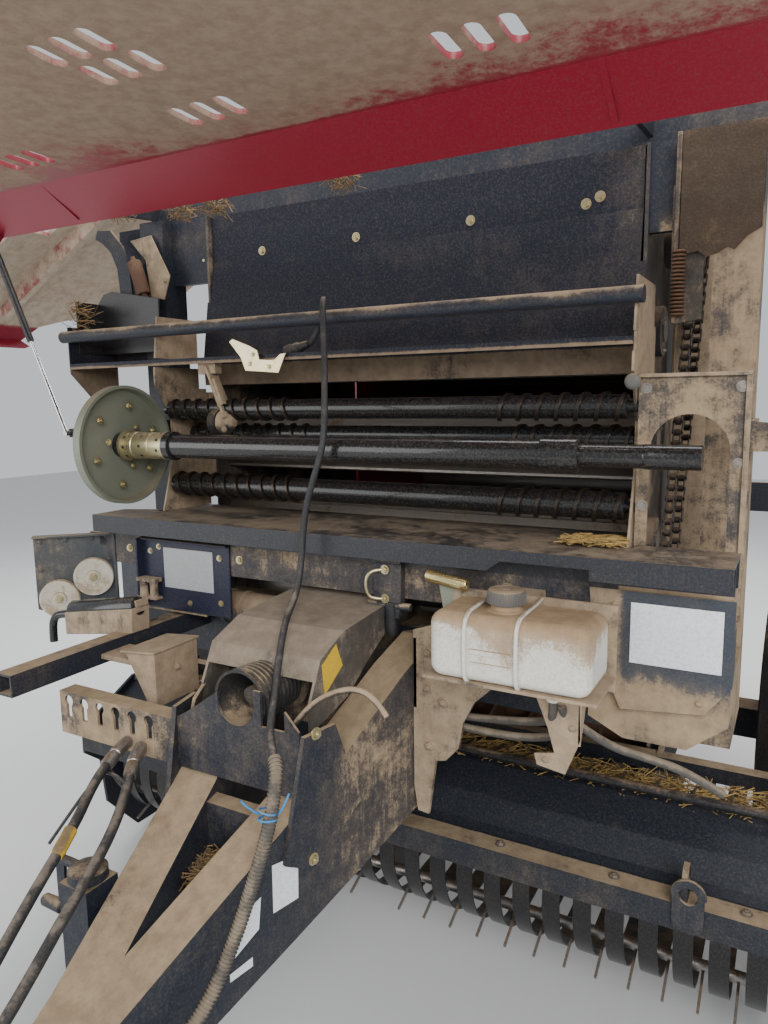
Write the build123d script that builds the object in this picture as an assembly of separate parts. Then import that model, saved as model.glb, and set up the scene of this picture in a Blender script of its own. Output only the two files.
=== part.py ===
from build123d import *
import math
import os

os.makedirs("parts", exist_ok=True)

# Round baler with a fixed roller chamber. Millimetres. X runs across the machine (its left is +X),
# Y runs from the hitch (-Y) to the tailgate (+Y), Z is up from the ground.
# The origin is on the ground under the middle of the machine's box.

# Overall
HITCH_REACH = 1060
LAMP_DEPTH = 42
LAMP_BACK = 70

# Bale chamber
CHAMBER_Y = 1055
CHAMBER_Z = 1450
BALE_R = 625
ROLLER_R = 100
ROLLER_GAP = 5
RING_R = BALE_R + ROLLER_R + ROLLER_GAP
ROLLER_STEP = 20
FRONT_ROLLER_FROM = 100
FRONT_ROLLERS = 7
GATE_ROLLER_FROM = -80
GATE_ROLLERS = 9
CHAMBER_HALF = 615
PLATE_T = 8
PLATE_X = CHAMBER_HALF + PLATE_T
ROLLER_END_GAP = 3
STUB_R = 25
STUB_CLEAR = 0.05
HUB_R = 58
HUB_T = 20
RIB_COUNT = 10
RIB_H = 6
RIB_W = 14

# Tailgate
SPLIT_GAP = 10
GATE_Y = CHAMBER_Y + SPLIT_GAP
FRAME_END_Y = CHAMBER_Y - SPLIT_GAP
SHELL_R = 880
SHELL_T = 6
GATE_HALF = 762
GATE_HINGE_Y = CHAMBER_Y
GATE_HINGE_Z = 2358
GATE_PIN_R = 15
REAR_Y = CHAMBER_Y + SHELL_R + LAMP_BACK
LIGHT_BAR_Z = 1130
LIGHT_BAR_HALF = 980

# Wheels
TYRE_R = 460
TYRE_W = 420
TYRE_X = 1080
AXLE_Y = 1205
LUG_H = 16
LUG_COUNT = 12
LUG_LONG = 128
LUG_WIDE = 60
LUG_TURN = 24
LUG_ROOT = 12
LUG_X = 86
RIM_R = 222
AXLE_SQ = 100
AXLE_R = 40

# Front frame
POST_IN_X = 760
POST_OUT_X = 850
POST_Y0 = 200
POST_Y1 = 290
POST_Z0 = 840
TOP_BEAM_Z0 = 2085
TOP_BEAM_Z1 = 2145
CROSS_Y0 = 60
CROSS_Z0 = 840
CROSS_Z1 = 1000
SILL_Y0 = -60
SILL_Y1 = 20
SILL_Z0 = 1105
SILL_Z1 = 1185
ROOF_Z = 2330
ROOF_HALF = 1045

# Net and twine area
NET_PLATE_X = 640
NET_PLATE_T = 5
SHELF_Y0 = 25
SHELF_Y1 = 205
SHELF_Z = 1668
SHELF_LEFT = -990
RAIL_Y = 20
RAIL_Z = 1746
RAIL_R = 17
TRAY_Y0 = -115
TRAY_Z = 1247
TRAY_T = 4
TRAY_EDGE = 46
TRAY_EDGE_LOW = 24
TRAY_NOTCH = (390, 420, 600)
TRAY_CORNER = 150
TRAY_LEFT = -770
TRAY_RIGHT = 852
NET_ROLLERS = (
    # name, y, z, tube radius, spiral ring radius
    ("net_roller_upper", 67, 1530, 25, 31),
    ("net_roller_lower", 75, 1322, 29, 35),
    ("net_roller_back", 158, 1460, 25, 31),
)
SPIRAL_PITCH = 58
SPIRAL_W = 9
SPIRAL_SPANS = ((-625, -190), (335, 625))
SHAFT_Y = -95
SHAFT_Z = 1440
SHAFT_R = 30
DISC_R = 157
DISC_X = -650
DISC_T = 30

# Hood and side doors, raised
HOOD_HALF = 1195
HOOD_HINGE_Y = 30
HOOD_HINGE_Z = 2098
HOOD_LIP = (-15, 2045)
HOOD_FOLD = (-70, 2075)
HOOD_SEAM = (-150, 2118)
HOOD_NOSE = (-985, 2153)
HOOD_ARM_X = (-850, 600)
HOOD_ARM_T = 12
HOOD_FLANGE = 60
HOOD_SLOTS = (
    # x of the first slot, y of its middle, step in x, length along the sheet
    (-223, -597, 59, 80),
    (-202, -505, 59, 80),
    (-194, -295, 59, 92),
    (-777, -286, 57, 84),
    (392, -310, 58, 98),
)
SLOTS_IN_GROUP = 3
SLOT_W = 33
SHEET_T = 12
DOOR_HINGE_X = 1060
DOOR_HINGE_Z = 2245
DOOR_DROOP = 27
DOOR_Y0 = 110
DOOR_Y1 = 1040
DOOR_LONG = 940
DOOR_SHORT = 810
DOOR_T = 14

# Drawbar
RING_R_OUT = 60
RING_HOLE_R = 25
RING_T = 40
HITCH_Z = 465
ARM_SLOPE = 0.21
ARM_X_AT_TIP = 52
ARM_W = 90
TONGUE_H = 120
ARM_TIP_Y = -945
HITCH_Y = ARM_TIP_Y - HITCH_REACH + RING_R_OUT
PTO_Z = 965
CROSS_SHAFT_Y = 130
CROSS_SHAFT_Z = 1075
CROSS_SHAFT_R = 40
PIVOT_R = 45
PTO_STUB_R = 17.5
SHAFT_ROOM_R = 45
PTO_TIP_Y = -400

# Oil tank: x, y and z of its box from low to high
TANK_BOX = (333, 645, -275, -120, 1020, 1150)
TANK_ROUND = 26
TANK_CAP_X = 466
TANK_PLATE = 6

# Pick-up
REEL_Y = 285
REEL_Z = 360
REEL_TIP_R = 255
REEL_BAR_R = 14
REEL_BARS = 4
REEL_PITCH_R = 150
REEL_SIDE_GAP = 20
STRIP_R = 200
STRIP_W = 42
STRIP_T = 4
STRIPS = 26
PICK_HALF = 1000
STRIP_MARGIN = 38
STRIP_PITCH = 2 * (PICK_HALF - STRIP_MARGIN) / STRIPS
REEL_HALF = PICK_HALF - REEL_SIDE_GAP
GUARD_HALF = PICK_HALF - 40
GUARD_RODS = 24
PICK_BAR = 60
PICK_BAR_Y = 15
PICK_BAR_Z = 490
ROTOR_Y = 760
ROTOR_Z = 560
ROTOR_R = 240
ROTOR_STARS = 12
GAUGE_R = 150
GAUGE_Y = 470
GAUGE_X = PICK_HALF + 105
GAUGE_LIFT = 12


# Small makers of shapes
def block(x0, x1, y0, y1, z0, z1):
    size = (abs(x1 - x0), abs(y1 - y0), abs(z1 - z0))
    centre = ((x0 + x1) / 2, (y0 + y1) / 2, (z0 + z1) / 2)
    return Pos(*centre) * Box(*size)


def rod_x(y, z, r, x0, x1):
    return Pos((x0 + x1) / 2, y, z) * Rot(0, 90, 0) * Cylinder(r, abs(x1 - x0))


def rod_y(x, z, r, y0, y1):
    return Pos(x, (y0 + y1) / 2, z) * Rot(90, 0, 0) * Cylinder(r, abs(y1 - y0))


def rod_z(x, y, r, z0, z1):
    return Pos(x, y, (z0 + z1) / 2) * Cylinder(r, abs(z1 - z0))


def rod_between(a, b, r):
    a, b = Vector(*a), Vector(*b)
    plane = Plane(origin=a, z_dir=b - a)
    return extrude(plane * Circle(r), amount=(b - a).length)


def plate_yz(points, x0, x1):
    plane = Plane(origin=(min(x0, x1), 0, 0), x_dir=(0, 1, 0), z_dir=(1, 0, 0))
    return extrude(plane * Polygon(*points, align=None), amount=abs(x1 - x0), dir=(1, 0, 0))


def plate_xz(points, y0, y1):
    plane = Plane(origin=(0, max(y0, y1), 0), x_dir=(1, 0, 0), z_dir=(0, -1, 0))
    return extrude(plane * Polygon(*points, align=None), amount=abs(y1 - y0), dir=(0, -1, 0))


def plate_xy(points, z0, z1):
    plane = Plane(origin=(0, 0, min(z0, z1)), x_dir=(1, 0, 0), z_dir=(0, 0, 1))
    return extrude(plane * Polygon(*points, align=None), amount=abs(z1 - z0), dir=(0, 0, 1))


def square_tube_y(x, z, side, wall, y0, y1):
    inner = side / 2 - wall
    outer = block(x - side / 2, x + side / 2, y0, y1, z - side / 2, z + side / 2)
    return outer - block(x - inner, x + inner, y0 - 1, y1 + 1, z - inner, z + inner)


def mirrored(shape):
    return mirror(shape, about=Plane.YZ)


def ring_point(angle, r=RING_R):
    a = math.radians(angle)
    return CHAMBER_Y + r * math.cos(a), CHAMBER_Z + r * math.sin(a)


def save(name, *shapes):
    solids = []
    for shape in shapes:
        solids.extend(shape.solids())
    whole = Compound(children=solids) if len(solids) > 1 else solids[0]
    whole.label = name
    export_step(whole, f"parts/{name}.step")


# Bale chamber
def roller_seats(first, count):
    return [ring_point(first + n * ROLLER_STEP) for n in range(count)]


FRONT_SEATS = roller_seats(FRONT_ROLLER_FROM, FRONT_ROLLERS)
GATE_SEATS = roller_seats(GATE_ROLLER_FROM, GATE_ROLLERS)


def chamber_roller(y, z):
    length = 2 * (CHAMBER_HALF - ROLLER_END_GAP)
    section = Circle(ROLLER_R - RIB_H)
    for n in range(RIB_COUNT):
        rib = Pos(ROLLER_R - RIB_H, 0) * Rectangle(2 * RIB_H, RIB_W)
        section += Rot(0, 0, n * 360 / RIB_COUNT) * rib
    plane = Plane(origin=(-length / 2, y, z), x_dir=(0, 1, 0), z_dir=(1, 0, 0))
    body = extrude(plane * section, amount=length)
    stub_x = PLATE_X + HUB_T + 4
    return body + rod_x(y, z, STUB_R, -stub_x, stub_x)


def with_hubs(plate, seats, side):
    hub_in, hub_out = side * PLATE_X, side * (PLATE_X + HUB_T)
    for y, z in seats:
        plate += rod_x(y, z, HUB_R, hub_in, hub_out)
    for y, z in seats:
        plate -= rod_x(y, z, STUB_R + STUB_CLEAR, side * 600, side * 700)
    return plate


def chamber_plate():
    outline = [
        (FRAME_END_Y, ROOF_Z),
        (640, ROOF_Z),
        (330, 2180),
        (310, TOP_BEAM_Z1),
        (310, TOP_BEAM_Z0),
        (235, TOP_BEAM_Z0),
        (235, 1230),
        (300, 900),
        (520, 760),
        (560, 700),
        (522, 600),
        (522, 520),
        (560, 400),
        (640, 330),
        (760, 300),
        (930, 340),
        (1010, 480),
        (FRAME_END_Y, 600),
    ]
    plate = plate_yz(outline, CHAMBER_HALF, PLATE_X)
    plate = with_hubs(plate, FRONT_SEATS, 1)
    plate += rod_x(ROTOR_Y, ROTOR_Z, 75, PLATE_X, PLATE_X + HUB_T)
    plate += rod_x(ROTOR_Y, ROTOR_Z, PIVOT_R, PLATE_X, PLATE_X + HUB_T + 24)
    plate -= rod_x(ROTOR_Y, ROTOR_Z, 35 + STUB_CLEAR, 600, 700)
    plate += rod_x(*CYL_FRAME, 20, PLATE_X, CYL_X + 30)
    ear = [(940, ROOF_Z), (FRAME_END_Y - 2, ROOF_Z), (GATE_HINGE_Y + 22, GATE_HINGE_Z),
           (GATE_HINGE_Y + 8, GATE_HINGE_Z + 24), (GATE_HINGE_Y - 20, GATE_HINGE_Z + 24)]
    plate += plate_yz(ear, 601, PLATE_X)
    return plate + rod_x(GATE_HINGE_Y, GATE_HINGE_Z, GATE_PIN_R, 550, 602)


def gate_plate():
    disc = rod_x(CHAMBER_Y, CHAMBER_Z, SHELL_R - SHELL_T, CHAMBER_HALF, PLATE_X)
    plate = disc & block(600, 700, GATE_Y, REAR_Y, 400, 2400)
    plate += rod_x(*CYL_GATE, 30, PLATE_X, CYL_X - 21)
    return with_hubs(plate, GATE_SEATS, 1)


def make_chamber():
    left = chamber_plate()
    save("chamber_plates", left, mirrored(left))
    save("front_rollers", *[chamber_roller(y, z) for y, z in FRONT_SEATS])
    outer = 256
    inner = 250
    floor = rod_x(ROTOR_Y, ROTOR_Z, outer, -CHAMBER_HALF, CHAMBER_HALF)
    floor -= rod_x(ROTOR_Y, ROTOR_Z, inner, -700, 700)
    keep = plate_yz([(ROTOR_Y, ROTOR_Z), (480, 400), (480, 250), (1000, 250), (1060, 440)], -700, 700)
    save("feed_floor", floor & keep)


# Tailgate
def make_gate():
    plate = gate_plate()
    save("gate_plates", plate, mirrored(plate))
    shell = rod_x(CHAMBER_Y, CHAMBER_Z, SHELL_R, -GATE_HALF, GATE_HALF)
    shell -= rod_x(CHAMBER_Y, CHAMBER_Z, SHELL_R - SHELL_T, -GATE_HALF + SHELL_T, GATE_HALF - SHELL_T)
    shell &= block(-800, 800, GATE_Y, REAR_Y, 400, 2400)
    for side in (-1, 1):
        x0, x1 = side * 560, side * 600
        lug = plate_yz([(GATE_Y + 5, 2300), (1160, 2300), (1120, GATE_HINGE_Z + 6), (1085, GATE_HINGE_Z + 27),
                        (GATE_HINGE_Y, GATE_HINGE_Z + 32), (GATE_HINGE_Y - 23, GATE_HINGE_Z + 17),
                        (GATE_HINGE_Y - 25, GATE_HINGE_Z - 8), (GATE_HINGE_Y - 9, GATE_HINGE_Z - 17),
                        (GATE_HINGE_Y + 11, GATE_HINGE_Z - 23)], x0, x1)
        shell += lug
        shell -= rod_x(GATE_HINGE_Y, GATE_HINGE_Z, GATE_PIN_R + STUB_CLEAR, side * 500, side * 700)
    save("gate_shell", shell)
    save("gate_rollers", *[chamber_roller(y, z) for y, z in GATE_SEATS])
    lamp_y = REAR_Y - LAMP_DEPTH
    bar = block(-LIGHT_BAR_HALF, LIGHT_BAR_HALF, lamp_y - 20, lamp_y, LIGHT_BAR_Z - 60, LIGHT_BAR_Z + 60)
    for side in (-1, 1):
        bar += block(side * 420, side * 480, 1850, REAR_Y - 50, LIGHT_BAR_Z - 30, LIGHT_BAR_Z + 30)
    bar -= rod_x(CHAMBER_Y, CHAMBER_Z, SHELL_R, -700, 700)
    save("light_bar", bar)
    lamps = []
    for side in (-1, 1):
        x0, x1 = side * (LIGHT_BAR_HALF - 270), side * (LIGHT_BAR_HALF - 20)
        lamps.append(block(x0, x1, REAR_Y - LAMP_DEPTH, REAR_Y, LIGHT_BAR_Z - 50, LIGHT_BAR_Z + 50))
    save("rear_lamps", *lamps)


# The frame's pin and the gate's pin of the tailgate cylinder, and what it measures between them
CYL_X = 692
CYL_FRAME = (900, 1150)
CYL_GATE = (1330, 2120)
CYL_R = 35
CYL_ROD_R = 19
CYL_LEN = math.dist(CYL_FRAME, CYL_GATE)
CYL_DIR = math.atan2(CYL_GATE[1] - CYL_FRAME[1], CYL_GATE[0] - CYL_FRAME[0])
CYL_BARREL_LEN = 700


def along_cylinder(distance):
    return (CYL_X, CYL_FRAME[0] + distance * math.cos(CYL_DIR), CYL_FRAME[1] + distance * math.sin(CYL_DIR))


def make_gate_cylinders():
    barrel = rod_between(along_cylinder(30), along_cylinder(CYL_BARREL_LEN), CYL_R)
    barrel -= rod_between(along_cylinder(80), along_cylinder(CYL_BARREL_LEN + 5), CYL_ROD_R + 0.1)
    barrel += rod_x(*CYL_FRAME, 34, CYL_X - 22, CYL_X + 22)
    barrel -= rod_x(*CYL_FRAME, 20 + STUB_CLEAR, CYL_X - 40, CYL_X + 40)
    rod = rod_between(along_cylinder(120), along_cylinder(CYL_LEN - 20), CYL_ROD_R)
    rod += rod_x(*CYL_GATE, 34, CYL_X - 16, CYL_X + 16)
    for name, shape in (("barrel", barrel), ("rod", rod)):
        save(f"gate_{name}_left", shape)
        save(f"gate_{name}_right", mirrored(shape))


# Wheels
def tyre():
    half = TYRE_W / 2
    wall = TYRE_R - LUG_H
    bead = TYRE_W / 2 - 40
    flank = [(half, RIM_R + 90), (half - 6, wall - 34), (half - 44, wall)]
    other = [(-x, r) for x, r in reversed(flank)]
    profile = make_face(Polyline((-bead, RIM_R + 4), (bead, RIM_R + 4), *flank, *other, (-bead, RIM_R + 4)))
    body = revolve(profile, axis=Axis.X)
    lugs = []
    lug = Rot(0, 0, LUG_TURN) * Box(LUG_LONG, LUG_WIDE, LUG_H + LUG_ROOT)
    turn = math.radians(LUG_TURN)
    corner = (LUG_LONG * math.sin(turn) + LUG_WIDE * math.cos(turn)) / 2
    lug_z = math.sqrt(TYRE_R**2 - corner**2) - (LUG_H + LUG_ROOT) / 2
    for n in range(LUG_COUNT):
        turn = n * 360 / LUG_COUNT + math.degrees(math.asin(corner / TYRE_R))
        lugs.append(Rot(turn, 0, 0) * Pos(-LUG_X, 0, lug_z) * lug)
        lugs.append(Rot(turn + 180 / LUG_COUNT, 0, 0) * Pos(LUG_X, 0, lug_z) * mirrored(lug))
    return body + lugs


def rim():
    wall = 6
    profile = make_face(Polyline(
        (-150, RIM_R + 3.7), (150, RIM_R + 3.7), (150, RIM_R - 10), (30, RIM_R - 26), (18, 130), (0, 118),
        (0, AXLE_R + 14), (60, AXLE_R + 14), (60, AXLE_R + STUB_CLEAR), (-90, AXLE_R + STUB_CLEAR),
        (-90, AXLE_R + 14), (-8, AXLE_R + 14), (-8, 118), (18 - wall, 134), (24, RIM_R - 30),
        (-150, RIM_R - 10), (-150, RIM_R + 3.7)))
    return revolve(profile, axis=Axis.X)


def make_wheels():
    place = Pos(TYRE_X, AXLE_Y, TYRE_R)
    left_tyre = place * tyre()
    left_rim = place * rim()
    save("tyre_left", left_tyre)
    save("tyre_right", mirrored(left_tyre))
    save("rim_left", left_rim)
    save("rim_right", mirrored(left_rim))
    beam_x = TYRE_X - 100
    beam = block(-beam_x, beam_x, AXLE_Y - AXLE_SQ / 2, AXLE_Y + AXLE_SQ / 2, TYRE_R - 50, TYRE_R + 50)
    beam += rod_x(AXLE_Y, TYRE_R, AXLE_R, -TYRE_X - 58, TYRE_X + 58)
    for side in (-1, 1):
        x0, x1 = side * PLATE_X, side * (PLATE_X + 14)
        hanger = [(AXLE_Y + 50, TYRE_R - 40), (AXLE_Y + 50, TYRE_R + 45), (FRAME_END_Y - 5, TYRE_R + 100),
                  (FRAME_END_Y - 5, 860), (880, 860), (880, 760), (1000, TYRE_R + 30),
                  (AXLE_Y - 60, TYRE_R - 40)]
        beam += plate_yz(hanger, x0, x1)
    save("axle_beam", beam)


# Front frame
def arch_panel():
    x0, x1 = 650, 855
    panel = block(x0, x1, 52, 57, SILL_Z0, 1594)
    hole = block(x0 + 24, x1 - 32, 40, 70, SILL_Z1 + 20, 1440)
    hole += Pos((x0 + x1) / 2 - 4, 55, 1440) * Rot(90, 0, 0) * Cylinder((x1 - x0) / 2 - 28, 40)
    return panel - hole + block(x0, x1, 57, 100, 1570, 1594)


def make_front_frame():
    frame = block(-POST_OUT_X, POST_OUT_X, 250, 310, TOP_BEAM_Z0, TOP_BEAM_Z1)
    frame += block(-POST_OUT_X, POST_OUT_X, CROSS_Y0, POST_Y0, CROSS_Z0, CROSS_Z1)
    frame += block(-POST_OUT_X, POST_OUT_X, SILL_Y0, SILL_Y1, SILL_Z0, SILL_Z1)
    for side in (-1, 1):
        frame += block(side * POST_IN_X, side * POST_OUT_X, POST_Y0, POST_Y1, POST_Z0, TOP_BEAM_Z0)
        frame += block(side * POST_IN_X, side * POST_OUT_X, SILL_Y1, POST_Y0, SILL_Z0, SILL_Z1)
        frame += block(side * PLATE_X, side * POST_IN_X, 240, 262, 1900, TOP_BEAM_Z0)
        frame += block(side * PLATE_X, side * POST_IN_X, 250, 272, 950, 1120)
        frame += plate_yz([(POST_Y1, 950), (POST_Y1, POST_Z0), (420, 880), (880, 880), (880, 950)],
                          side * POST_IN_X, side * (POST_IN_X + 12))
        frame += block(side * PLATE_X, side * POST_IN_X, 860, 880, 880, 950)
    frame += arch_panel()
    frame += shaft_arm()
    for x in HOOD_ARM_X:
        frame += hood_ear(x + HOOD_ARM_T + 0.5)
    bracket = strut_bracket()
    frame += bracket
    frame += mirrored(bracket)
    frame += square_tube_y(-540, 950, 50, 5, -570, CROSS_Y0)
    frame += block(-565, -515, CROSS_Y0 - 6, CROSS_Y0, 925, 975)
    save("front_frame", frame)


def make_roof():
    half = ROOF_HALF
    shoulder = DOOR_HINGE_Z + 22
    section = [(-half, shoulder), (-PLATE_X, ROOF_Z + 8), (PLATE_X, ROOF_Z + 8), (half, shoulder),
               (half, shoulder - 6), (PLATE_X, ROOF_Z), (-PLATE_X, ROOF_Z), (-half, shoulder - 6)]
    roof = plate_xz(section, 640, FRAME_END_Y)
    front = plate_yz([(640, ROOF_Z + 8), (640, ROOF_Z), (255, TOP_BEAM_Z1 + 2), (247, TOP_BEAM_Z1 + 2)],
                     -PLATE_X, PLATE_X)
    roof += front
    for side in (-1, 1):
        edge = side * (half - 4)
        rib = plate_xz([(side * 850, 2110), (side * 850, 2145), (side * PLATE_X, ROOF_Z),
                        (edge, shoulder - 6), (edge, shoulder - 60)], 292, 310)
        roof += rib
        roof += plate_xz([(side * 850, 2240), (side * PLATE_X, ROOF_Z), (edge, shoulder - 6),
                          (edge, shoulder - 60)], FRAME_END_Y - 30, FRAME_END_Y)
        roof += block(side * (half - 30), side * half, 292, 640, shoulder - 12, shoulder)
        for y in (300, 560, 1000):
            pin_y = y - 44 if y == 1000 else y
            roof += rod_y(side * DOOR_HINGE_X, DOOR_HINGE_Z, 9, pin_y, pin_y + 84)
            roof += block(side * (half - 6), side * half, y, y + 40, DOOR_HINGE_Z - 4, shoulder)
            inner_x, outer_x = side * (half - 6), side * (DOOR_HINGE_X - 4)
            roof += block(inner_x, outer_x, y, y + 40, DOOR_HINGE_Z - 4, DOOR_HINGE_Z + 4)
    for side in (-1, 1):
        roof -= block(side * 600.7, side * (PLATE_X + 0.3), 939, FRAME_END_Y + 5, 2300, 2400)
        roof -= block(side * 553, side * (PLATE_X + 0.3), GATE_HINGE_Y - 36, FRAME_END_Y + 5, 2300, 2400)
    save("roof_panel", roof)


# Net and twine area
def make_net_area():
    shelf = block(SHELF_LEFT, NET_PLATE_X, SHELF_Y0, SHELF_Y1, SHELF_Z - 3, SHELF_Z)
    shelf += block(SHELF_LEFT, NET_PLATE_X, SHELF_Y0, SHELF_Y0 + 4, SHELF_Z - 16, SHELF_Z)
    end = [(SHELF_Y0, 1775), (SHELF_Y1, 1775), (SHELF_Y1, 1560), (SHELF_Y0 + 80, 1560), (SHELF_Y0, 1640)]
    shelf += plate_yz(end, SHELF_LEFT, SHELF_LEFT + 4)
    shelf -= rod_x(RAIL_Y, RAIL_Z, RAIL_R + 0.3, SHELF_LEFT - 5, SHELF_LEFT + 10)
    back = [(SHELF_Y1 - 4, SHELF_Z), (SHELF_Y1, SHELF_Z), (254, 1955), (254, TOP_BEAM_Z0), (249, TOP_BEAM_Z0),
            (249, 1955)]
    shelf += plate_yz(back, SHELF_LEFT, NET_PLATE_X)
    shelf += plate_yz([(SHELF_Y1 - 4, SHELF_Z), (SHELF_Y1, SHELF_Z), (SHELF_Y1 + 4, 1600), (SHELF_Y1, 1600)],
                      -PLATE_X, NET_PLATE_X)
    for side in (-1, 1):
        shelf -= block(side * (PLATE_X + 5), side * (CHAMBER_HALF - 5), 230, 270, 1500, 2200)
        shelf -= block(side * PLATE_X, side * (POST_OUT_X + 5), 199, 320, 1500, 2200)
    save("twine_shelf", shelf)

    rail = rod_x(RAIL_Y, RAIL_Z, RAIL_R, -1004, 660)
    save("shelf_rail", rail)

    side_plate = [(40, 1786), (225, 1786), (225, 1200), (40, 1200), (25, 1240), (75, 1400), (75, 1500),
                  (20, 1600), (20, 1640)]
    plate = plate_yz(side_plate, NET_PLATE_X, NET_PLATE_X + NET_PLATE_T)
    for name, y, z, tube, ring in NET_ROLLERS:
        plate -= rod_x(y, z, 12 + STUB_CLEAR, 600, 700)
    plate -= rod_x(RAIL_Y, RAIL_Z, RAIL_R + 0.3, 600, 700)
    right = mirrored(plate)
    plate -= block(600, 700, SHELF_Y0 - 30, SHELF_Y0 + 8, SHELF_Z - 30, SHELF_Z + 10)
    plate += block(PLATE_X, NET_PLATE_X, 236, 246, 1300, 1700)
    plate += block(NET_PLATE_X, NET_PLATE_X + NET_PLATE_T, 220, 246, 1300, 1700)
    right -= block(-700, -600, SHELF_Y0 - 5, 240, SHELF_Z - 20, SHELF_Z + 5)
    right -= block(-700, -600, SHELF_Y1 - 10, 250, 1590, 1800)
    right += block(-PLATE_X, -NET_PLATE_X, 236, 246, 1300, 1580)
    right += block(-NET_PLATE_X, -NET_PLATE_X - NET_PLATE_T, 220, 246, 1300, 1580)
    save("net_side_plates", plate, right)

    under = TRAY_Z - TRAY_T
    tray = block(TRAY_LEFT + TRAY_CORNER, TRAY_RIGHT, TRAY_Y0, 190, under, TRAY_Z)
    start, low, end = TRAY_NOTCH
    deep, shallow = TRAY_Z - TRAY_EDGE, TRAY_Z - TRAY_EDGE_LOW
    tray += plate_xz([(TRAY_LEFT, TRAY_Z), (TRAY_LEFT, deep), (start, deep), (low, shallow), (end, shallow),
                      (end, deep), (TRAY_RIGHT, deep), (TRAY_RIGHT, TRAY_Z)], TRAY_Y0, TRAY_Y0 + TRAY_T)
    for y in (SILL_Y0, SILL_Y1 - TRAY_T):
        tray += block(TRAY_LEFT, TRAY_RIGHT, y, y + TRAY_T, SILL_Z1, under)
    tray += plate_xy([(TRAY_LEFT, TRAY_Y0), (TRAY_LEFT + TRAY_CORNER, TRAY_Y0), (TRAY_LEFT + TRAY_CORNER, 60),
                      (TRAY_LEFT, 0)], under, TRAY_Z)
    for side in (-1, 1):
        tray -= block(side * 635, side * 656, 15, 250, TRAY_Z - 10, TRAY_Z + 20)
        tray -= block(side * 649, side * 870, 51, 250, TRAY_Z - 10, TRAY_Z + 20)
    save("net_tray", tray)


def spiral_roller(y, z, tube, ring):
    body = rod_x(y, z, tube, -628, 628)
    for x0, x1 in SPIRAL_SPANS:
        count = int((x1 - x0) / SPIRAL_PITCH)
        for n in range(count + 1):
            x = x0 + n * SPIRAL_PITCH
            body += rod_x(y, z, ring, x - SPIRAL_W / 2, x + SPIRAL_W / 2)
    return body + rod_x(y, z, 12, -650, 650)


def make_net_rollers():
    for name, y, z, tube, ring in NET_ROLLERS:
        save(name, spiral_roller(y, z, tube, ring))


def make_net_shaft():
    profile = make_face(Polyline(
        (-DISC_T / 2, 34), (-DISC_T / 2, DISC_R - 6), (-DISC_T / 2 + 6, DISC_R), (DISC_T / 2, DISC_R),
        (DISC_T / 2, DISC_R - 8), (-DISC_T / 2 + 7, DISC_R - 12), (-DISC_T / 2 + 7, 34), (-DISC_T / 2, 34)))
    disc = Pos(DISC_X, SHAFT_Y, SHAFT_Z) * revolve(profile, axis=Axis.X)
    save("net_disc", disc)
    shaft = rod_x(SHAFT_Y, SHAFT_Z, 33.9, DISC_X - 20, -470)
    shaft += rod_x(SHAFT_Y, SHAFT_Z, SHAFT_R, -470, 560)
    shaft += rod_x(SHAFT_Y, SHAFT_Z, 34.5, 500, 570)
    tip = rod_x(SHAFT_Y, SHAFT_Z, 22.5, 560, 790)
    tip -= plate_yz([(SHAFT_Y - 40, SHAFT_Z - 60), (SHAFT_Y + 60, SHAFT_Z - 60), (SHAFT_Y + 60, SHAFT_Z + 60),
                     (SHAFT_Y - 40, SHAFT_Z + 60)], 784, 800)
    shaft += tip
    shaft += rod_x(SHAFT_Y, SHAFT_Z, 15, -740, DISC_X)
    save("net_shaft", shaft)


def shaft_arm():
    arm = plate_yz([(SHAFT_Y - 35, SHAFT_Z - 30), (SHAFT_Y - 35, SHAFT_Z + 30), (SHAFT_Y, SHAFT_Z + 45),
                    (60, SHAFT_Z + 60), (200, 1500), (200, 1400), (60, SHAFT_Z - 60),
                    (SHAFT_Y, SHAFT_Z - 45)], -735, -715)
    arm -= rod_x(SHAFT_Y, SHAFT_Z, 15 + STUB_CLEAR, -800, -600)
    return arm + block(-POST_IN_X - 40, -715, 180, 200, 1400, 1500)


# Hood, raised
def raised(point, along=0, up=0):
    return (point[0] + along, point[1] + up)


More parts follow.
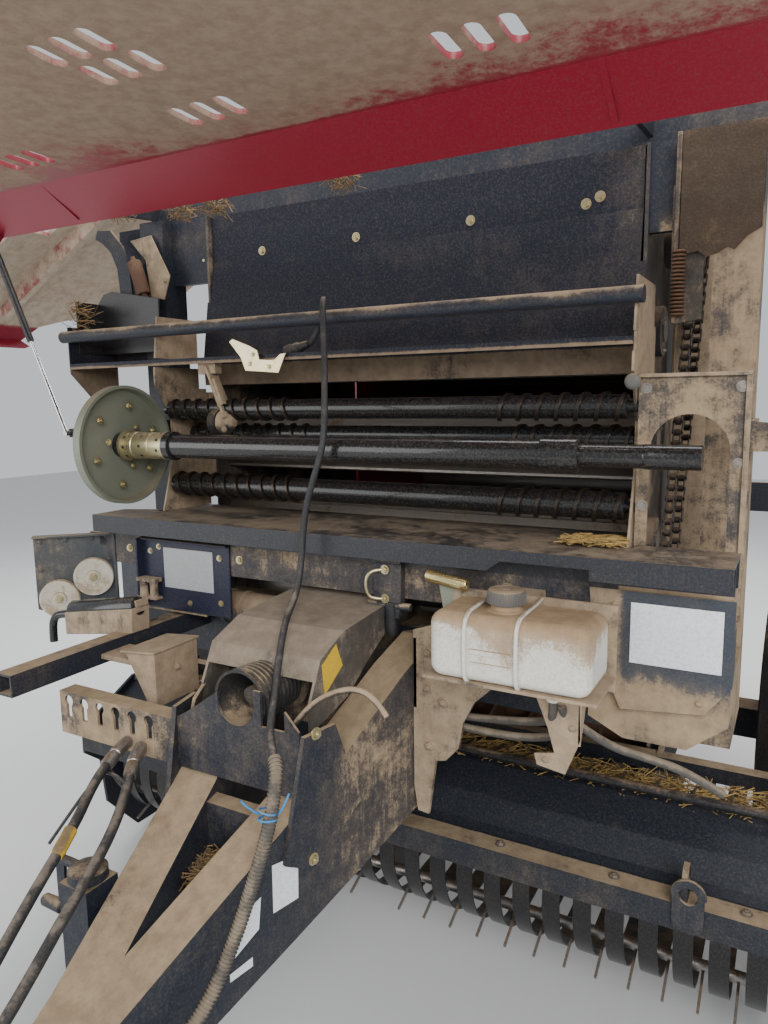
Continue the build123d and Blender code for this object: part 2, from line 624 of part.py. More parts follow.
def make_hood():
    lip, fold, seam, nose = HOOD_LIP, HOOD_FOLD, HOOD_SEAM, HOOD_NOSE
    sheet = [lip, fold, seam, nose, raised(nose, -18, -34), raised(nose, -30, -30),
             raised(nose, -12, SHEET_T), raised(seam, -4, SHEET_T), raised(fold, 5, 10), raised(lip, 8, 10)]
    hood = plate_yz(sheet, -HOOD_HALF, HOOD_HALF)
    flange = [raised(lip, -2, 5), raised(fold, -2, 5), raised(seam, -2, 5), raised(nose, -5, 4),
              raised(nose, -5, -HOOD_FLANGE), raised(seam, 0, -HOOD_FLANGE), raised(lip, -20, -20)]
    for side in (-1, 1):
        hood += plate_yz(flange, side * (HOOD_HALF - SHEET_T), side * HOOD_HALF)
    slope = math.atan2(nose[1] - seam[1], seam[0] - nose[0])
    for first_x, y, step, length in HOOD_SLOTS:
        z = seam[1] + (seam[0] - y) * math.tan(slope)
        for n in range(SLOTS_IN_GROUP):
            along = Plane(origin=(first_x + n * step, y, z), x_dir=(0, -math.cos(slope), math.sin(slope)),
                          z_dir=(0, math.sin(slope), math.cos(slope)))
            hood -= extrude(along * SlotOverall(length, SLOT_W), amount=3 * SHEET_T, both=True)
    for x in HOOD_ARM_X:
        arm = plate_yz([raised(lip, -20, 6), seam, raised(seam, 30, 40),
                        (HOOD_HINGE_Y + 18, HOOD_HINGE_Z + 16), (HOOD_HINGE_Y + 18, HOOD_HINGE_Z - 18)],
                       x, x + HOOD_ARM_T)
        arm -= rod_x(HOOD_HINGE_Y, HOOD_HINGE_Z, 10 + STUB_CLEAR, x - 5, x + 20)
        hood += arm
    save("hood", hood)


def hood_ear(x0):
    ear = plate_yz([(250, 2100), (250, 2140), (HOOD_HINGE_Y - 6, HOOD_HINGE_Z + 16),
                    (HOOD_HINGE_Y - 16, HOOD_HINGE_Z), (HOOD_HINGE_Y, HOOD_HINGE_Z - 16)], x0, x0 + 12)
    return ear + rod_x(HOOD_HINGE_Y, HOOD_HINGE_Z, 10, x0 - 18, x0 + 4)


# Side doors, raised
DROOP = math.radians(DOOR_DROOP)


def on_door(t, rise=0.0):
    x = DOOR_HINGE_X + t * math.cos(DROOP) + rise * math.sin(DROOP)
    z = DOOR_HINGE_Z - t * math.sin(DROOP) + rise * math.cos(DROOP)
    return (x, z)


def make_doors():
    section = [on_door(14, 2), on_door(14, 2 + DOOR_T), on_door(260, 52), on_door(560, 60),
               on_door(DOOR_LONG - 60, 30), on_door(DOOR_LONG, -20), on_door(DOOR_LONG - 8, -50),
               on_door(DOOR_LONG - 20, -46), on_door(DOOR_LONG - 18, -20), on_door(DOOR_LONG - 72, 16),
               on_door(560, 60 - DOOR_T), on_door(260, 52 - DOOR_T)]
    door = plate_xz(section, DOOR_Y0, DOOR_Y1)
    frame_strip = [on_door(14, 2), on_door(260, 40), on_door(560, 46), on_door(DOOR_SHORT - 30, 20),
                   on_door(DOOR_SHORT - 30, -14), on_door(14, -12)]
    for y in (DOOR_Y0, 355, DOOR_Y1 - 24):
        door += plate_xz(frame_strip, y, y + 24)
    long_x, short_x = on_door(DOOR_LONG)[0], on_door(DOOR_SHORT)[0]
    corner = [(long_x + 60, 420), (long_x + 60, 1100), (short_x, 1100), (short_x, 700), (long_x + 20, 420)]
    door -= plate_xy(corner, 1500, 2600)
    for y in (345, 605, 960):
        door += rod_y(DOOR_HINGE_X, DOOR_HINGE_Z, 16, y, y + 38) + plate_xz(
            [on_door(0, 0), on_door(0, 14), on_door(40, 14), on_door(40, -6)], y, y + 38)
    for y in (300, 560, 1000):
        door -= rod_y(DOOR_HINGE_X, DOOR_HINGE_Z, 20, y - 4, y + 44)
    door -= rod_y(DOOR_HINGE_X, DOOR_HINGE_Z, 9 + STUB_CLEAR, 0, 1200)
    window = [on_door(245, -40), on_door(340, -40), on_door(340, 90), on_door(245, 90)]
    door -= plate_xz(window, 213, 297)
    strut_x, strut_z = on_door(STRUT_DOOR_T, 0)
    door += rod_y(strut_x, strut_z, 8, STRUT_Y + 7.3, DOOR_Y0 + 2)
    save("door_left", door)
    save("door_right", mirrored(door))


# The gas strut of a side door runs from the frame's bracket to the door's front rib
STRUT_LOW_X = 1100
STRUT_LOW_Z = 1458
STRUT_Y = 84
STRUT_DOOR_T = 370
STRUT_R = 11
STRUT_ROD_R = 5
STRUT_BARREL = 360
STRUT_ROD_INSIDE = 40
STRUT_TOP_X, STRUT_TOP_Z = on_door(STRUT_DOOR_T, 0)


def along_strut(distance):
    total = math.dist((STRUT_LOW_X, STRUT_LOW_Z), (STRUT_TOP_X, STRUT_TOP_Z))
    share = distance / total
    x = STRUT_TOP_X + (STRUT_LOW_X - STRUT_TOP_X) * share
    return (x, STRUT_Y, STRUT_TOP_Z + (STRUT_LOW_Z - STRUT_TOP_Z) * share)


def strut_bracket():
    y0 = STRUT_Y + 12
    bracket = plate_xz([(POST_OUT_X, 1440), (STRUT_LOW_X + 2, 1446), (STRUT_LOW_X + 12, 1458),
                        (STRUT_LOW_X + 2, 1472), (POST_OUT_X, 1500)], y0, y0 + 8)
    bracket += rod_y(STRUT_LOW_X, STRUT_LOW_Z, 9, STRUT_Y + 7.3, y0)
    return bracket + block(POST_OUT_X, POST_OUT_X + 8, y0, POST_Y1, 1440, 1500)


def make_struts():
    total = math.dist((STRUT_LOW_X, STRUT_LOW_Z), (STRUT_TOP_X, STRUT_TOP_Z))
    barrel = rod_between(along_strut(14), along_strut(STRUT_BARREL), STRUT_R)
    barrel += rod_between(along_strut(0), along_strut(20), STRUT_ROD_R + 2)
    barrel -= rod_between(along_strut(40), along_strut(STRUT_BARREL + 5), STRUT_ROD_R + 0.1)
    barrel += rod_y(STRUT_TOP_X, STRUT_TOP_Z, 10, STRUT_Y - 8, STRUT_Y + 7)
    rod = rod_between(along_strut(STRUT_BARREL - STRUT_ROD_INSIDE), along_strut(total - 5), STRUT_ROD_R)
    rod += rod_y(STRUT_LOW_X, STRUT_LOW_Z, 9, STRUT_Y - 7, STRUT_Y + 7)
    for name, shape in (("barrel", barrel), ("rod", rod)):
        save(f"strut_{name}_left", shape)
        save(f"strut_{name}_right", mirrored(shape))


# Drawbar
def arm_x(y):
    return ARM_X_AT_TIP + ARM_SLOPE * (y - ARM_TIP_Y)


def arm_plate(points, inset, thickness):
    turn = math.atan(ARM_SLOPE)
    way = (math.sin(turn), math.cos(turn), 0)
    out = (math.cos(turn), -math.sin(turn), 0)
    start = (ARM_X_AT_TIP - inset * out[0], ARM_TIP_Y - inset * out[1], 0)
    plane = Plane(origin=start, x_dir=way, z_dir=(way[1], -way[0], 0))
    flat = [((y - ARM_TIP_Y) / way[1], z) for y, z in points]
    way_in = (-out[0], -out[1], 0)
    if thickness < 0:
        way_in = out
    return extrude(plane * Polygon(*flat, align=None), amount=abs(thickness), dir=way_in)


def drawbar_arm():
    outline = [(60, 1000), (-47, 1016), (-149, 966), (-343, 846), (-476, 778), (-843, 600), (-1060, 525),
               (-1060, 405), (-900, 425), (-667, 478), (-462, 536), (-211, 610), (-110, 640), (-50, 720),
               (60, 850)]
    return arm_plate(outline, 0, ARM_W)


def make_drawbar():
    left = drawbar_arm()
    tongue = block(-ARM_X_AT_TIP, ARM_X_AT_TIP, HITCH_Y + 130, ARM_TIP_Y + 20, 405, 405 + TONGUE_H)
    bar = left + mirrored(left) + tongue
    bar &= block(-400, 400, HITCH_Y, 60, 300, 1100)
    bar += block(-60, 60, HITCH_Y + 110, HITCH_Y + 130, 385, 545)
    bar += block(-150, 150, -480, -440, 600, 760)
    gusset = arm_plate([(-450, 930), (-370, 930), (-300, 745), (-440, 660), (-505, 700)], 0, -10)
    bar += gusset
    bar += mirrored(gusset)
    bar += jack_sleeve()
    bar += hose_cups()
    save("drawbar", bar)
    return bar


def make_hitch_ring():
    ring = rod_z(0, HITCH_Y, RING_R_OUT, HITCH_Z - RING_T / 2, HITCH_Z + RING_T / 2)
    ring += block(-32, 32, HITCH_Y, HITCH_Y + 90, HITCH_Z - RING_T / 2, HITCH_Z + RING_T / 2)
    ring += block(-58, 58, HITCH_Y + 90, HITCH_Y + 110, 388, 542)
    ring -= rod_z(0, HITCH_Y, RING_HOLE_R, 300, 600)
    save("hitch_ring", ring)


def make_hose_bracket(drawbar):
    sheet = [(-520, 800), (-520, 900), (-170, 900), (-120, 930), (-20, 1000), (62, 1000), (62, 930),
             (118, 930), (118, 970), (150, 935), (165, 800)]
    bracket = plate_xz(sheet, -449, -443)
    bracket -= rod_y(0, PTO_Z, SHAFT_ROOM_R, -460, -430)
    bracket -= block(-SHAFT_ROOM_R, SHAFT_ROOM_R, -460, -430, PTO_Z, 1010)
    bracket += plate_xy([(-520, -449), (-170, -449), (-170, -405), (-520, -405)], 894, 900)
    bracket += block(-520, -200, -449, -405, 800, 806)
    for n in range(6):
        x = -490 + n * 50
        bracket -= block(x - 8, x + 8, -460, -440, 840, 880)
        bracket -= rod_y(x, 880, 13, -460, -440)
    save("hose_bracket", bracket - drawbar)


def make_gearbox():
    box = block(-95, 95, -240, CROSS_Y0, 850, 1040)
    box += block(-95, 95, CROSS_Y0 - 10, CROSS_SHAFT_Y + 50, CROSS_Z1, CROSS_SHAFT_Z + 50)
    box += rod_y(0, PTO_Z, 66, -290, -240)
    box += rod_y(0, PTO_Z, PTO_STUB_R, PTO_TIP_Y, -290)
    box += rod_x(CROSS_SHAFT_Y, CROSS_SHAFT_Z, CROSS_SHAFT_R, 95, 685)
    save("gearbox", box)
    side = [(-380, 900), (-380, 960), (-340, 1040), (-250, 1075), (40, 1095), (40, 1035), (-47, 1032),
            (-149, 985), (-240, 930)]
    guard = plate_yz([(-360, 1000), (-340, 1040), (-250, 1075), (40, 1095), (40, 1089), (-250, 1069),
                      (-336, 1036), (-354, 1000)], -150, 130)
    for x0, x1 in ((-150, -144), (124, 130)):
        guard += plate_yz(side, x0, x1)
    guard += plate_yz([(-10, 1040), (34, 1040), (34, 1089), (-10, 1086)], -60, 60)
    save("gearbox_guard", guard)


JACK_X = -158
JACK_Y = -690
JACK_HALF = 30


def jack_sleeve():
    outer = JACK_HALF + 6
    sleeve = block(JACK_X - outer, JACK_X + outer, JACK_Y - outer, JACK_Y + outer, 320, 690)
    inner = JACK_HALF + 0.5
    sleeve -= block(JACK_X - inner, JACK_X + inner, JACK_Y - inner, JACK_Y + inner, 300, 684)
    sleeve += block(JACK_X + outer, JACK_X + 70, JACK_Y - 40, JACK_Y + 40, 470, 600)
    sleeve += rod_x(JACK_Y, 420, 9, JACK_X - 110, JACK_X - outer)
    return sleeve + rod_z(JACK_X - 98, JACK_Y, 7, 330, 414)


def make_jack():
    leg = block(JACK_X - JACK_HALF, JACK_X + JACK_HALF, JACK_Y - JACK_HALF, JACK_Y + JACK_HALF, 8, 430)
    leg += block(JACK_X - 90, JACK_X + 90, JACK_Y - 90, JACK_Y + 90, 0, 8)
    save("jack_leg", leg)


CUP_Y = -1400
CUPS = (
    # x and bore radius of each parking cup on the tongue
    (-44, 10),
    (-12, 10),
    (22, 11),
)
CUP_Z = 552


def hose_cups():
    plate = plate_xz([(-52, 520), (-70, 545), (-66, 590), (50, 590), (54, 545), (52, 520)], CUP_Y - 6, CUP_Y)
    for x, r in CUPS:
        plate += rod_y(x, CUP_Z, r + 4, CUP_Y - 50, CUP_Y - 6)
    return plate


# Pick-up and rotor
def stripper(x):
    band = rod_x(REEL_Y, REEL_Z, STRIP_R, x - STRIP_W / 2, x + STRIP_W / 2)
    band -= rod_x(REEL_Y, REEL_Z, STRIP_R - STRIP_T, x - STRIP_W, x + STRIP_W)
    keep = block(x - STRIP_W, x + STRIP_W, REEL_Y - 210, REEL_Y, REEL_Z - 210, REEL_Z + 210)
    band &= keep
    x0, x1 = x - STRIP_W / 2, x + STRIP_W / 2
    for z in (REEL_Z + STRIP_R - STRIP_T, REEL_Z - STRIP_R):
        band += block(x0, x1, REEL_Y, REEL_Y + 215, z, z + STRIP_T)
    return band


def make_pickup():
    half_bar = PICK_BAR / 2
    frame = block(-PICK_HALF, PICK_HALF, PICK_BAR_Y - half_bar, PICK_BAR_Y + half_bar, PICK_BAR_Z - half_bar,
                  PICK_BAR_Z + half_bar)
    frame += block(-PICK_HALF, PICK_HALF, REEL_Y + 185, REEL_Y + 225, REEL_Z + STRIP_R, REEL_Z + STRIP_R + 40)
    frame += block(-PICK_HALF, PICK_HALF, REEL_Y + 185, REEL_Y + 215, REEL_Z - STRIP_R - 36, REEL_Z - STRIP_R)
    for side in (-1, 1):
        x0, x1 = side * PICK_HALF, side * (PICK_HALF + 10)
        frame += plate_yz([(-15, 450), (-15, 530), (200, 640), (430, 640), (520, 610), (520, 110),
                           (180, 110), (60, 250), (45, 400)], x0, x1)
        frame += rod_x(REEL_Y, REEL_Z, 45, side * (PICK_HALF - 12), side * (PICK_HALF + 30))
        frame -= rod_x(REEL_Y, REEL_Z, 20 + STUB_CLEAR, side * (PICK_HALF - 100), side * (PICK_HALF + 100))
        arm_x0, arm_x1 = side * 648, side * 664
        frame += plate_yz([(REEL_Y + 190, 600), (REEL_Y + 225, 560), (ROTOR_Y - 70, 500), (ROTOR_Y + 60, 490),
                           (ROTOR_Y + 80, 560), (ROTOR_Y + 40, 640), (ROTOR_Y - 60, 650)], arm_x0, arm_x1)
        frame -= rod_x(ROTOR_Y, ROTOR_Z, PIVOT_R + STUB_CLEAR, side * 640, side * 670)
        gauge_in, gauge_out = side * (PICK_HALF + 10), side * (PICK_HALF + 22)
        gauge_arm = [(380, 330), (380, 400), (500, 230), (GAUGE_Y + 40, GAUGE_R - 30),
                     (GAUGE_Y - 40, GAUGE_R - 30)]
        frame += plate_yz(gauge_arm, gauge_in, gauge_out)
        frame += rod_x(GAUGE_Y, GAUGE_R + GAUGE_LIFT, 12, gauge_out, side * (GAUGE_X + 60))
    lug = plate_yz([(PICK_BAR_Y - 28, 520), (PICK_BAR_Y + 28, 520), (PICK_BAR_Y + 28, 570),
                    (PICK_BAR_Y + 12, 592), (PICK_BAR_Y - 12, 592), (PICK_BAR_Y - 28, 570)], 779, 791)
    frame += lug - rod_x(PICK_BAR_Y, 563, 13, 700, 800)
    ramp = [(45, 515), (72, 528), (118, 574), (198, 618), (225, 624), (225, 619), (200, 613), (121, 569),
            (75, 523), (45, 509)]
    frame += plate_yz(ramp, -PICK_HALF, PICK_HALF)
    save("pickup_frame", frame)
    bands = [stripper(STRIP_MARGIN - PICK_HALF + (n + 0.5) * STRIP_PITCH) for n in range(STRIPS)]
    save("strippers", *bands)

    reel = rod_x(REEL_Y, REEL_Z, 30, -REEL_HALF, REEL_HALF)
    reel += rod_x(REEL_Y, REEL_Z, 20, -PICK_HALF - 40, PICK_HALF + 40)
    for x in (5 - REEL_HALF, 0, REEL_HALF - 5):
        reel += rod_x(REEL_Y, REEL_Z, REEL_PITCH_R + 20, x - 4, x + 4)
    for k in range(REEL_BARS):
        a = math.radians(45 + 360 * k / REEL_BARS)
        cy, cz = REEL_Y + REEL_PITCH_R * math.cos(a), REEL_Z + REEL_PITCH_R * math.sin(a)
        ty, tz = REEL_Y + REEL_TIP_R * math.cos(a - 0.16), REEL_Z + REEL_TIP_R * math.sin(a - 0.16)
        reel += rod_x(cy, cz, REEL_BAR_R, 2 - REEL_HALF, REEL_HALF - 2)
        for n in range(STRIPS - 1):
            x = STRIP_MARGIN - PICK_HALF + (n + 1) * STRIP_PITCH
            if abs(x) < 20:
                continue
            spot = Plane(origin=(x, cy, cz), x_dir=(1, 0, 0), z_dir=(0, ty - cy, tz - cz))
            reel += extrude(spot * Rectangle(6, 6), amount=math.dist((cy, cz), (ty, tz)))
    save("pickup_reel", reel)

    guard = rod_x(185, 650, 11, -GUARD_HALF, GUARD_HALF)
    for n in range(GUARD_RODS):
        x = (2 * n / (GUARD_RODS - 1) - 1) * (GUARD_HALF - 30)
        guard += rod_between((x, 185, 650), (x, 300, 625), 3)
    for side in (-1, 1):
        x0, x1 = side * (GUARD_HALF - 10), side * (GUARD_HALF + 2)
        guard += plate_yz([(170, 640), (170, 660), (430, 665), (445, 641), (190, 641)], x0, x1)
        guard += block(x0, side * PICK_HALF, 415, 435, 641, 660)
        guard += block(side * PICK_HALF, side * (PICK_HALF + 10), 415, 435, 640, 660)
    save("wind_guard", guard)

    for side, name in ((1, "left"), (-1, "right")):
        wheel = rod_x(GAUGE_Y, GAUGE_R + GAUGE_LIFT, GAUGE_R, side * (GAUGE_X - 40), side * (GAUGE_X + 40))
        wheel -= rod_x(GAUGE_Y, GAUGE_R + GAUGE_LIFT, 12 + STUB_CLEAR, side * 1000, side * 1300)
        save(f"gauge_wheel_{name}", wheel)

    rotor = rod_x(ROTOR_Y, ROTOR_Z, 85, -CHAMBER_HALF + 4, CHAMBER_HALF - 4)
    rotor += rod_x(ROTOR_Y, ROTOR_Z, 35, -PLATE_X - 60, PLATE_X + 60)
    for n in range(ROTOR_STARS):
        x = -560 + n * 1120 / (ROTOR_STARS - 1)
        points = []
        for k in range(4):
            a = math.radians(90 * k + 12 * n)
            for r, off in ((80, -0.5), (160, -0.22), (ROTOR_R, 0.0), (ROTOR_R - 6, 0.06), (120, 0.3)):
                points.append((ROTOR_Y + r * math.cos(a + off), ROTOR_Z + r * math.sin(a + off)))
        rotor += plate_yz(points, x - 5, x + 5)
    save("feed_rotor", rotor)


# Side drive and boxes
def make_drive():
    x0, x1 = 690, 712
    wheels = (
        # y, z, radius of the sprockets on the left side
        (CROSS_SHAFT_Y, CROSS_SHAFT_Z, 55),
        (FRONT_SEATS[2][0], FRONT_SEATS[2][1], 70),
    )
    sprockets = []
    for y, z, r in wheels:
        hub_x = 685 if y == CROSS_SHAFT_Y else PLATE_X + HUB_T + 4
        sprockets.append(rod_x(y, z, r, x0 + 6, x1 - 6) + rod_x(y, z, 30, hub_x, x1 + 4))
    save("chain_sprockets", *sprockets)
    low, high = wheels
    turn = math.atan2(high[1] - low[1], high[0] - low[0])

    def capsule(extra):
        n = (-math.sin(turn), math.cos(turn))
        corners = [
            (low[0] + n[0] * (low[2] + extra), low[1] + n[1] * (low[2] + extra)),
            (high[0] + n[0] * (high[2] + extra), high[1] + n[1] * (high[2] + extra)),
            (high[0] - n[0] * (high[2] + extra), high[1] - n[1] * (high[2] + extra)),
            (low[0] - n[0] * (low[2] + extra), low[1] - n[1] * (low[2] + extra)),
        ]
        shape = plate_yz(corners, x0, x1)
        for y, z, r in (low, high):
            shape += rod_x(y, z, r + extra, x0, x1)
        return shape

    save("drive_chain", capsule(13) - capsule(0.3))


def make_boxes():
    x0, x1, y0, y1, z0, z1 = TANK_BOX
    tank = fillet(block(x0, x1, y0, y1, z0, z1).edges(), TANK_ROUND)
    tank += rod_z(TANK_CAP_X, -200, 24, z1 - 10, z1 + 14)
    tank += rod_z(TANK_CAP_X, -200, 34, z1 + 14, z1 + 40)
    save("oil_tank", tank)
    bracket = block(x0 - 12, x1 + 12, y1, y1 + TANK_PLATE, z0 - 30, z1 + 10)
    bracket += block(x0 - 12, x1 + 12, y0 + 5, y1, z0 - TANK_PLATE, z0)
    bracket += block(440, 500, y1 + TANK_PLATE, SILL_Y0, 1120, 1160)
    save("tank_bracket", bracket)
    label = plate_xz([(590, 905), (660, 870), (780, 870), (852, 930), (852, 1170), (590, 1170)], -50, 40)
    label -= plate_xz([(596, 911), (664, 876), (776, 876), (846, 934), (846, 1160), (596, 1160)], -44, 60)
    label -= block(500, 900, SILL_Y0 - 0.3, SILL_Y1 + 0.3, SILL_Z0 - 0.3, SILL_Z1 + 10)
    label &= block(580, 860, -50, 39, 860, SILL_Z0 - 0.3)
    control = block(-730, -420, -60, CROSS_Y0, 985, SILL_Z0)
    save("side_boxes", label, control)
    board = Pos(-845, -110, 1090) * Rot(0, 0, -42) * (Box(240, 8, 190))
    board += block(-850, -800, SILL_Y0 - 50, SILL_Y0, 1150, SILL_Z1)
    save("pulley_board", board)
    pulleys = []
    for t, z in ((-70, 1050), (60, 1092)):
        a = math.radians(-42)
        px, py = -845 + t * math.cos(a), -110 + t * math.sin(a)
        pulleys.append(Pos(px, py, z) * Rot(0, 0, -42) * Pos(0, -14.3, 0) * Rot(90, 0, 0) * Cylinder(54, 20))
    save("twine_pulleys", *pulleys)


# Cords, cables and hoses
CONTROL_CABLE = [
    # x, y, z along the route
    (-150, 64, 1690), (-128, 60, 1708), (-108, 50, 1742), (-90, 36, 1776), (-72, 14, 1790), (-58, -12, 1778),
    (-48, -30, 1745), (-36, -46, 1700), (-22, -66, 1640), (-2, -100, 1575), (20, -136, 1510),
    (24, -152, 1450),
    (2, -156, 1385), (-22, -156, 1320), (-32, -158, 1250), (-34, -164, 1190), (-30, -184, 1140),
    (-20, -222, 1108), (0, -270, 1096), (28, -325, 1075), (54, -378, 1030), (76, -425, 975), (98, -468, 940),
    (122, -496, 930), (142, -514, 915),
]
CONDUIT = [
    (142.6, -514.5, 914.6), (156, -526.6, 904.5), (165, -545, 872), (167, -563, 824), (163, -583, 776),
    (157, -608, 722), (151, -636, 668), (145, -665, 622), (139, -695, 580), (132, -730, 548),
    (123, -775, 526), (112, -825, 515),
    (100, -880, 517), (87, -935, 526), (70, -993, 542), (50, -1055, 555), (34, -1125, 559), (25, -1200, 557),
    (21, -1275, 553), (22, -1340, CUP_Z), (22, CUP_Y + 0.5, CUP_Z),
]
HOSE_OUTER = [
    (-304, -462, 822), (-296, -498, 812), (-280, -545, 802), (-252, -600, 790), (-218, -655, 776),
    (-190, -715, 758), (-168, -780, 732), (-146, -845, 702), (-123, -910, 671), (-98, -975, 638),
    (-76, -1045, 608), (-60, -1120, 583), (-50, -1200, 566), (-45, -1285, 553),
    (-44, -1340, CUP_Z), (-44, CUP_Y + 0.5, CUP_Z),
]
HOSE_INNER = [
    (-262, -462, 818), (-246, -492, 806), (-218, -530, 792), (-186, -575, 777), (-155, -625, 762),
    (-126, -680, 748), (-100, -745, 730), (-76, -815, 706), (-54, -885, 676), (-36, -955, 644),
    (-24, -1030, 612), (-16, -1110, 586), (-12, -1195, 567), (-13, -1285, 553),
    (-12, -1340, CUP_Z), (-12, CUP_Y + 0.5, CUP_Z),
]
CORDS = (
    # name, route, diameter
    ("control_cable", CONTROL_CABLE, 15),
    ("conduit_bundle", CONDUIT, 22),
    ("hose_outer", HOSE_OUTER, 20),
    ("hose_inner", HOSE_INNER, 20),
)


def cord_radii(points):
    radii = []
    for a, b, c in zip(points, points[1:], points[2:]):
        first, second = Vector(*b) - Vector(*a), Vector(*c) - Vector(*b)
        turn = math.radians(first.get_angle(second))
        radii.append(0.45 * min(first.length, second.length) / math.tan(turn / 2))
    return radii


def make_cords():
    for name, points, diameter in CORDS:
        radii = cord_radii(points)
        path = FilletPolyline(*points, radius=radii)
        start = Plane(origin=points[0], z_dir=Vector(*points[1]) - Vector(*points[0]))
        tube = sweep(start * Circle(diameter / 2), path=path)
        section = math.pi * diameter**2 / 4
        print(name, "length", round(path.length), "smallest radius", round(min(radii)),
              "volume share", round(tube.volume / (section * path.length), 3))
        save(name, tube)


make_chamber()
make_gate()
make_gate_cylinders()
make_wheels()
make_front_frame()
make_roof()
make_net_area()
make_net_rollers()
make_net_shaft()
make_hood()
make_doors()
make_struts()
make_hose_bracket(make_drawbar())
make_hitch_ring()
make_gearbox()
make_jack()
make_pickup()
make_drive()
make_boxes()
make_cords()
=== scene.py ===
import math
import random

import bmesh
import bpy
from mathutils import Matrix, Vector


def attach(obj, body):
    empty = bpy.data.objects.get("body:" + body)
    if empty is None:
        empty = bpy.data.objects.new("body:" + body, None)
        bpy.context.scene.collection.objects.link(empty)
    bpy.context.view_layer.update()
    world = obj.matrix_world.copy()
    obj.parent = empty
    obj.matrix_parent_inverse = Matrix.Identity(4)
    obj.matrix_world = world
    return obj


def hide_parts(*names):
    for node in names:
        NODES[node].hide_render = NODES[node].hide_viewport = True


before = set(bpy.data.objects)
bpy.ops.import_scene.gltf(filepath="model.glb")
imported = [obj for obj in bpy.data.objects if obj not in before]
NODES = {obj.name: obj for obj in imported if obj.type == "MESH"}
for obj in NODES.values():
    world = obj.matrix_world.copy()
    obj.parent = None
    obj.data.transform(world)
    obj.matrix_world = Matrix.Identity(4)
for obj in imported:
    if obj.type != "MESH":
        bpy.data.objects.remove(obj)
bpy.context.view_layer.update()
MM = 0.001

# Camera at the photograph's viewpoint. The focal length is in pixels of the photograph, 768 by 1024
PHOTO_HEIGHT = 1024
FOCAL_PX = 760
SENSOR = 36
CAM_POS = (0.947, -1.545, 1.55)
YAW, PITCH, ROLL = 29.0, 8.4, 0.8

cam_data = bpy.data.cameras.new("camera")
cam_data.sensor_width = SENSOR
cam_data.lens = SENSOR * FOCAL_PX / PHOTO_HEIGHT
cam_data.clip_start = 0.02
cam = bpy.data.objects.new("camera", cam_data)
bpy.context.scene.collection.objects.link(cam)
turn = Matrix.Rotation(math.radians(YAW), 3, "Z") @ Matrix.Rotation(math.radians(90 - PITCH), 3, "X")
turn = turn @ Matrix.Rotation(math.radians(-ROLL), 3, "Z")
cam.matrix_world = Matrix.Translation(CAM_POS) @ turn.to_4x4()
bpy.context.scene.camera = cam


# Shader helpers. A value is a number, a colour, or the output of another node
def feed(tree, socket, value):
    if isinstance(value, (int, float)):
        socket.default_value = value
    elif isinstance(value, tuple):
        socket.default_value = (*value, 1)
    else:
        tree.links.new(value, socket)


def math_node(tree, operation, a, b, clamp=False):
    node = tree.nodes.new("ShaderNodeMath")
    node.operation = operation
    node.use_clamp = clamp
    feed(tree, node.inputs[0], a)
    feed(tree, node.inputs[1], b)
    return node.outputs[0]


def mix_colour(tree, factor, a, b, blend="MIX"):
    node = tree.nodes.new("ShaderNodeMix")
    node.data_type = "RGBA"
    node.blend_type = blend
    for number, value in ((0, factor), (6, a), (7, b)):
        feed(tree, node.inputs[number], value)
    return node.outputs[2]


def noise(tree, vector, scale, detail=4.0, rough=0.55):
    node = tree.nodes.new("ShaderNodeTexNoise")
    for label, value in (("Scale", scale), ("Detail", detail), ("Roughness", rough), ("Vector", vector)):
        feed(tree, node.inputs[label], value)
    return node.outputs["Fac"]


def step(tree, value, low, high):
    """Rises smoothly from 0 at low to 1 at high. With low above high it falls instead."""
    node = tree.nodes.new("ShaderNodeMapRange")
    node.interpolation_type = "SMOOTHSTEP"
    for number, given in enumerate((value, low, high)):
        feed(tree, node.inputs[number], given)
    return node.outputs[0]


